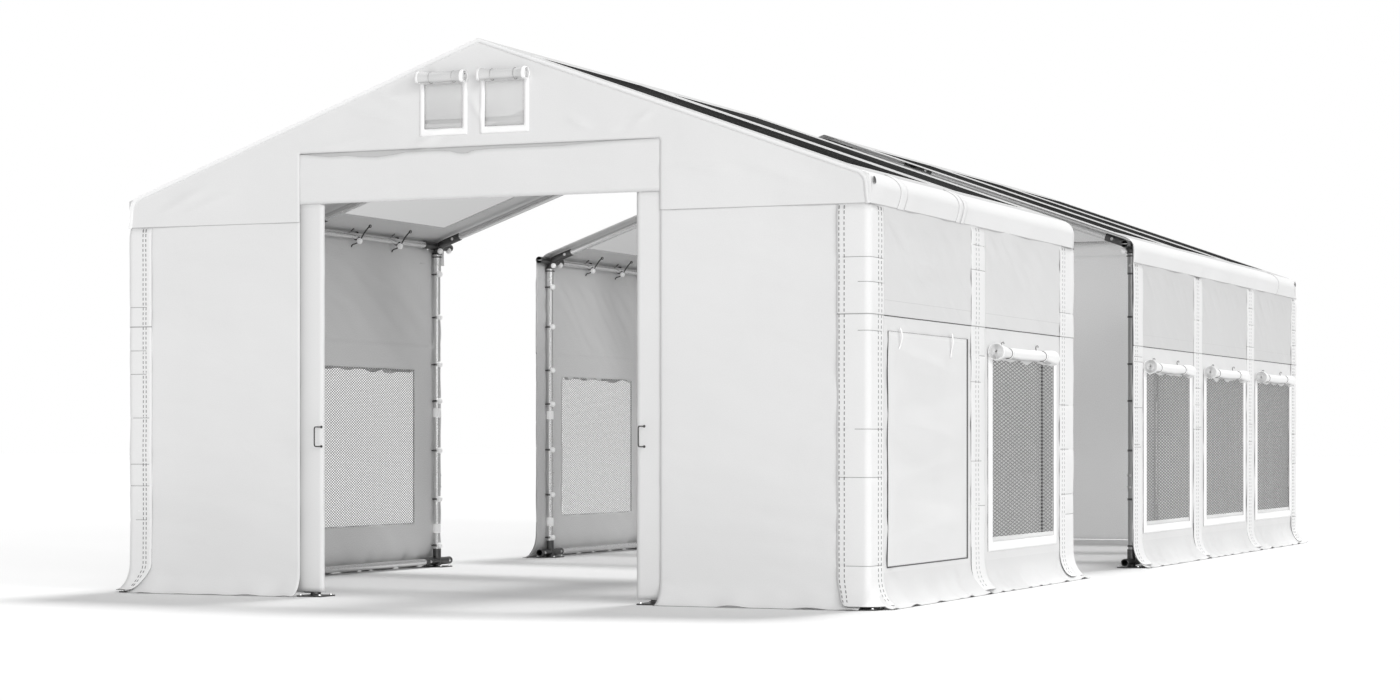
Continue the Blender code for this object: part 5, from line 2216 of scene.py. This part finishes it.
    def end_wall(self, side: Side) -> None:
        """Wall sheet between the corner and the doorway.

        Args:
            side: side of the doorway.
        """
        inner, outer = WALL_INNER[side], SIDE_X - LAYER - WALL_INSET
        heights = spread([END_HANG.bend_z, LAP_Z, VALANCE_Z, WALL_TOP_Z], 0.035)[::-1]
        x, out, row_up, normal_out, normal_up, down = END_HANG.grid(
            heights, spread([inner, inner + 0.02, outer], 0.035))
        seed = 21 + side.value + 5 * (self.end is End.REAR)
        off = 0.0020 * ripples(x, row_up, seed, 0.45, 1.42 * side.value, 0.2)
        off = off + 0.0013 * ripples(x, row_up, seed + 1, 0.13, 1.40 * side.value, 0.10)
        off = off + ramp(down, 2.28, 2.5) * 0.006 * ripples(x, row_up * 0, seed + 2, 0.4, 0.0, 0.0)
        off = off * ramp(x, inner, inner + 0.08) * ramp(-x, -outer, -outer + 0.05)
        if side is Side.RIGHT:
            off = off - 0.0025 * (1 - ramp(x, inner, inner + 0.03))
        y = self.end.value * (END_Y - LAYER + out + normal_out * off)
        z = np.maximum(row_up + normal_up * off, CLEAR)
        shell = Shell().add(xyz(side.value * x, y, z), cloth=(x, down))
        piece = shell.build(f"end_cloth_{self.label}_{side.label}", [self.finishes.front],
                            (0, self.end.value, 0.2), 0.0032, back=self.inner, edge=self.finishes.edge)
        show_sheet(piece, (outer - inner, float(down[-1, 0])), "hung", f"roof_tubes_{self.label}",
                   f"{self.label}_wall_{side.label}")

    def header(self) -> None:
        """Band above the doorway with a wavy upper edge, and the lining seen above that edge."""
        left, right = -JAMB_OUTER[Side.LEFT], JAMB_OUTER[Side.RIGHT]
        x, share = np.meshgrid(spread([left, right], 0.025), spread([0.0, 1.0], 0.10))
        places, depths = zip(*self.sag)
        top = NOTCH_Z - np.interp(x, places, depths)
        z = top + (HEADER_Z[0] - top) * share
        off = 0.0016 * ripples(x, z, 15, 0.14, 1.50, 0.06) * ramp(share, 0.0, 0.2)
        look = self.finishes
        piece = self.cloth(f"door_band_{self.label}", x, z, off - LAYER - 0.0012, look.front)
        show_sheet(piece, (right - left, HEADER_Z[1] - HEADER_Z[0]), "stretched",
                   f"door_pole_{self.label}_left", f"door_surround_{self.label}")
        x, z = sheet_grid([left, right], [2.66, 2.86], 0.1, 0.05)
        # The lining takes the darker slope finish: painted shade above the band's wavy edge
        lining = self.cloth(f"gable_lining_{self.label}", x, z, -LAYER - 0.0046, look.slope, 0.002)
        show_sheet(lining, (right - left, 0.20), "stretched", f"gable_cloth_{self.label}")

    def jamb(self, side: Side) -> None:
        """Strip beside the doorway, wrapped round its post, with painted shade where the wall laps over it.

        Args:
            side: side of the doorway.
        """
        inner, outer, wall = JAMB_INNER[side], JAMB_OUTER[side], WALL_INNER[side]
        x, z = sheet_grid([inner, inner + 0.012, wall - 0.08, wall, outer],
                          [0.030, 0.06, HEADER_Z[0] + 0.01], 0.012, 0.05)
        off = 0.0014 * ripples(x, z, 33 + side.value, 0.35, 1.57, 0.2)
        off = off - 0.016 * (1 - ramp(x, inner, inner + 0.02))
        # Painted shadow of the wall's edge: deep and wide on the left, a faint thin line on the right
        dark, reach = (1.0, 0.035) if side is Side.LEFT else (0.35, 0.006)
        shade = dark * np.exp((x - wall) / reach)
        piece = self.cloth(f"jamb_{self.label}_{side.label}", side.value * x, z,
                           off - 2 * LAYER + 0.0004, self.finishes.jamb, shade=np.minimum(shade, 1.0))
        show_sheet(piece, (outer - inner, HEADER_Z[0]), "stretched",
                   f"door_pole_{self.label}_{side.label}")

    def handle(self, side: Side) -> None:
        """Bow of dark wire with a small plate at each foot.

        Args:
            side: side of the doorway.
        """
        shell = Shell()
        x, root = side.value * 1.095, -(END_Y - 2 * LAYER)
        tip = root - 0.085
        low, high = 0.93, 1.05
        path = rounded_path([(x, root, low), (x, tip, low), (x, tip, high), (x, root, high)], 0.018, 8)
        sweep(shell, path, 0.0042, (1, 0, 0), 10)
        for height in (low, high):
            lathe(shell, [(0, -0.001), (0.008, -0.001), (0.008, 0.0015), (0.006, 0.0025), (0, 0.0025)],
                  (x, root, height), (0, -1, 0), 16)
        name = f"door_handle_{side.label}"
        show(shell.build(f"wire_{name}", [self.finishes.wire]), "dark_steel", name)

    def closed_door(self) -> None:
        """Closed door of the rear end: two leaves that meet in the middle under a zip flap."""
        left, right = -JAMB_OUTER[Side.LEFT], JAMB_OUTER[Side.RIGHT]
        x, z = sheet_grid([left, -0.03, 0.03, right], [0.005, *HEADER_Z], 0.04, 0.045)
        off = 0.0022 * ripples(x, z, 55, 0.4, 1.3, 0.3) + 0.004 * np.exp(-(x / 0.03) ** 2)
        piece = self.cloth("rear_door_cloth", x, z, off - 2 * LAYER, self.finishes.front,
                           shade=0.5 * np.exp(-((np.abs(x) - 0.03) / 0.004) ** 2))
        show_sheet(piece, (right - left, HEADER_Z[1]), "hung", "door_pole_rear_left", "closed_door_rear")
        x, z = sheet_grid([-0.009, 0.009], [0.02, HEADER_Z[0]], 0.01, 0.2)
        zip_band = Shell().add(self.at(x, z, -2 * LAYER - 0.0045), cloth=(x, z))
        show(zip_band.build("rear_door_zip", [self.finishes.gap], (0, -1, 0), 0.0015), "grey_net")

    def build(self) -> None:
        """Make every piece of this end."""
        self.triangle()
        for number, (hole, roll_x) in enumerate(zip(self.windows, GABLE_ROLL_X), start=1):
            self.window(number, hole, roll_x)
        for side in Side:
            self.end_wall(side)
        if self.end is End.FRONT:
            self.header()
            for side in Side:
                self.jamb(side)
                self.handle(side)
        else:
            self.closed_door()


@dataclass
class RailHooks:
    """Elastic loops with balls that pull the roof's edge to the eave rails."""
    section: Section
    side: Side
    finishes: Finishes
    from_middle: Pair = (-0.24, 0.36)
    knot_z: float = 2.385

    def build(self) -> None:
        """Make the loops of one side."""
        shell = Shell()
        x = self.side.value * POST_X
        inwards = -self.side.value
        for near, far in self.section.bays:
            for shift in self.from_middle:
                y = (near + far) / 2 + shift
                self.loop(shell, x, y, inwards)
        for y in self.section.lines:
            ball(shell, (x + inwards * 0.050, y + (0.045 if y == -END_FRAME_Y else -0.040), 2.415), BALL_R)
            ball(shell, (x + inwards * 0.020, y + (-0.15 if y == END_FRAME_Y else 0.15), 2.43), BALL_R)
            for lift in (-0.012, 0.012):
                hoop(shell, (x, y, self.knot_z + lift), 0.034, 0.0045, 16)
        name = self.section.beside(self.side)
        piece = shell.build(f"rail_loops_{name}", [self.finishes.plastic, self.finishes.elastic])
        show(piece, "white_fabric")

    def loop(self, shell: Shell, x: float, y: float, inwards: int) -> None:
        """One loop: round the rail, up to an eyelet in the roof, with its ball in front.

        Args:
            shell: takes the loop.
            x, y: place on the eave rail.
            inwards: sign of X towards the tent's middle.
        """
        ball(shell, (x + inwards * 0.034, y, HOOK_Z), BALL_R)
        angle = np.linspace(0.2, 1.7 * math.pi, 16)
        ring = xyz(x + 0.0285 * np.cos(angle) * inwards, y + 0.012, AXIS_EAVE_Z - 0.0285 * np.sin(angle))
        sweep(shell, ring, 0.0046, (0, 1, 0), 6, False, 1)
        reach = np.linspace(0, 1, 8)
        top = AXIS_RIDGE_Z - SLOPE * (POST_X - 0.12) + 0.028
        cord = xyz(x + inwards * (0.036 + 0.085 * reach), y,
                   HOOK_Z + (top - HOOK_Z) * reach + 0.01 * np.sin(math.pi * reach))
        sweep(shell, cord, 0.005, (0, 1, 0), 6, False, 1)
        over = np.array([(0.010, 2.484), (0.022, 2.492), (0.036, 2.501)])
        under = np.array([(0.022, 2.408), (0.0, 2.398), (-0.020, 2.394), (-0.032, 2.386), (-0.034, 2.374)])
        for path, shift in ((over, -0.085), (under, 0.0)):
            strand = xyz(x + inwards * path[:, 0], y + shift, path[:, 1])
            sweep(shell, strand, 0.0045, (0, 1, 0), 6, False, 1)
        turn = np.arange(12) * TURN / 12
        eye = xyz(x + inwards * (0.121 + 0.010 * np.cos(turn)), y, top - 0.004 + 0.010 * np.sin(turn))
        sweep(shell, eye, 0.003, (0, 1, 0), 6, True, 1)


@dataclass
class Studio:
    """Camera, light and floor."""
    picture: tuple[int, int] = (1400, 700)
    focal_px: float = 2871.2
    horizon_px: float = 91.7
    eye: Point = (8.0383, -21.4058, 0.9591)
    turn: float = 0.40393
    floor_half: float = 160.0

    def camera(self) -> None:
        """Camera at the photograph's place; it looks level and its picture is shifted up."""
        lens = bpy.data.cameras.new("camera")
        lens.sensor_width = 36.0
        lens.lens = self.focal_px / self.picture[0] * lens.sensor_width
        lens.shift_y = self.horizon_px / self.picture[0]
        lens.clip_end = 400
        camera = bpy.data.objects.new("camera", lens)
        camera.location = self.eye
        camera.rotation_euler = (math.pi / 2, 0, self.turn)
        bpy.context.scene.collection.objects.link(camera)
        bpy.context.scene.camera = camera

    def sun(self, name: str, towards: Point, strength: float, angle: float) -> None:
        """Soft distant light that shines towards a direction.

        Args:
            name: name of the light.
            towards: direction of its rays.
            strength: power on a surface that faces it.
            angle: its width in degrees.
        """
        light = bpy.data.lights.new(name, "SUN")
        light.energy = strength
        light.angle = math.radians(angle)
        thing = bpy.data.objects.new(name, light)
        first, second = basis(unit(towards))
        matrix = np.eye(4)
        matrix[:3, 0], matrix[:3, 1], matrix[:3, 2] = first, second, -unit(towards)
        if np.linalg.det(matrix[:3, :3]) < 0:
            matrix[:3, 0] *= -1
        thing.matrix_world = Matrix(matrix.tolist())
        bpy.context.scene.collection.objects.link(thing)

    def floor(self) -> None:
        """Wide pale floor."""
        across = np.linspace(-self.floor_half, self.floor_half, 3)
        shell = Shell().add(xyz(*np.meshgrid(across, across), 0.0))
        material, board, shader = start_material("floor")
        path = board.node("LightPath")
        bounce = board.blend(path.outputs["Is Camera Ray"], grey(0.74), grey(0.88))
        board.wire(shader, {"Base Color": bounce, "Roughness": 0.9, "Specular IOR Level": 0.0})
        floor = shell.build("floor", [material], (0, 0, 1))

    def build(self) -> None:
        """Set the studio."""
        self.camera()
        world = bpy.data.worlds.new("studio")
        world.use_nodes = True
        board = Board(world.node_tree)
        seen = board.node("LightPath").outputs["Is Camera Ray"]
        board.wire(world.node_tree.nodes["Background"],
                   {"Color": grey(1.0), "Strength": board.fit(seen, (0.475, 1.0), (0.0, 1.0))})
        bpy.context.scene.world = world
        bpy.context.scene.view_settings.view_transform = "Standard"
        self.sun("key", (-0.05, -0.48, -1.0), 1.92, 13)
        self.sun("front", (-0.62, 0.75, -0.12), 1.60, 60)
        self.sun("rake", (-0.90, 0.35, -0.28), 0.45, 8)
        self.floor()


def main() -> None:
    """Build the tent in order."""
    logging.basicConfig(level=logging.INFO, format="%(name)s %(message)s")
    Studio().build()
    finishes = Finishes()
    number = 0
    for section in (FRONT, REAR):
        RoofSteel(section, finishes).build()
        RoofSheet(section, finishes).build()
        for y in section.lines:
            number += 1
            for side in Side:
                Post(number, side, y, finishes).build()
        for side in Side:
            GroundSteel(section, side, finishes).build()
            closed = (1,) if section is FRONT and side is Side.RIGHT else ()
            SideWall(section, side, finishes, closed).build()
            RailHooks(section, side, finishes).build()
            strips(section, side, finishes)
    for end in End:
        DoorSteel(end, finishes).build()
        GableEnd(end, finishes).build()


def strips(section: Section, side: Side, finishes: Finishes) -> None:
    """Cover strips of one side of a section.

    Args:
        section, side: which wall.
        finishes: the tent's materials.
    """
    wall = f"wall_{section.name}_{side.label}"
    start, stop = section.starts[side]
    seed = 200 + 20 * (section is REAR) + 7 * (side is Side.LEFT)
    for number, y in enumerate(section.lines, start=1):
        if y == section.end_line:
            corner_strip(section, side, finishes, seed + number).build(wall)
            continue
        low, high = y - 0.150, y + 0.135
        if y == section.open_line:
            low, high = (stop - 0.34, stop + 0.003) if section is FRONT else (start - 0.003, start + 0.28)
        flat_strip(section, side, y, low, high, finishes, seed + number).build(wall)


if __name__ == "__main__":
    main()
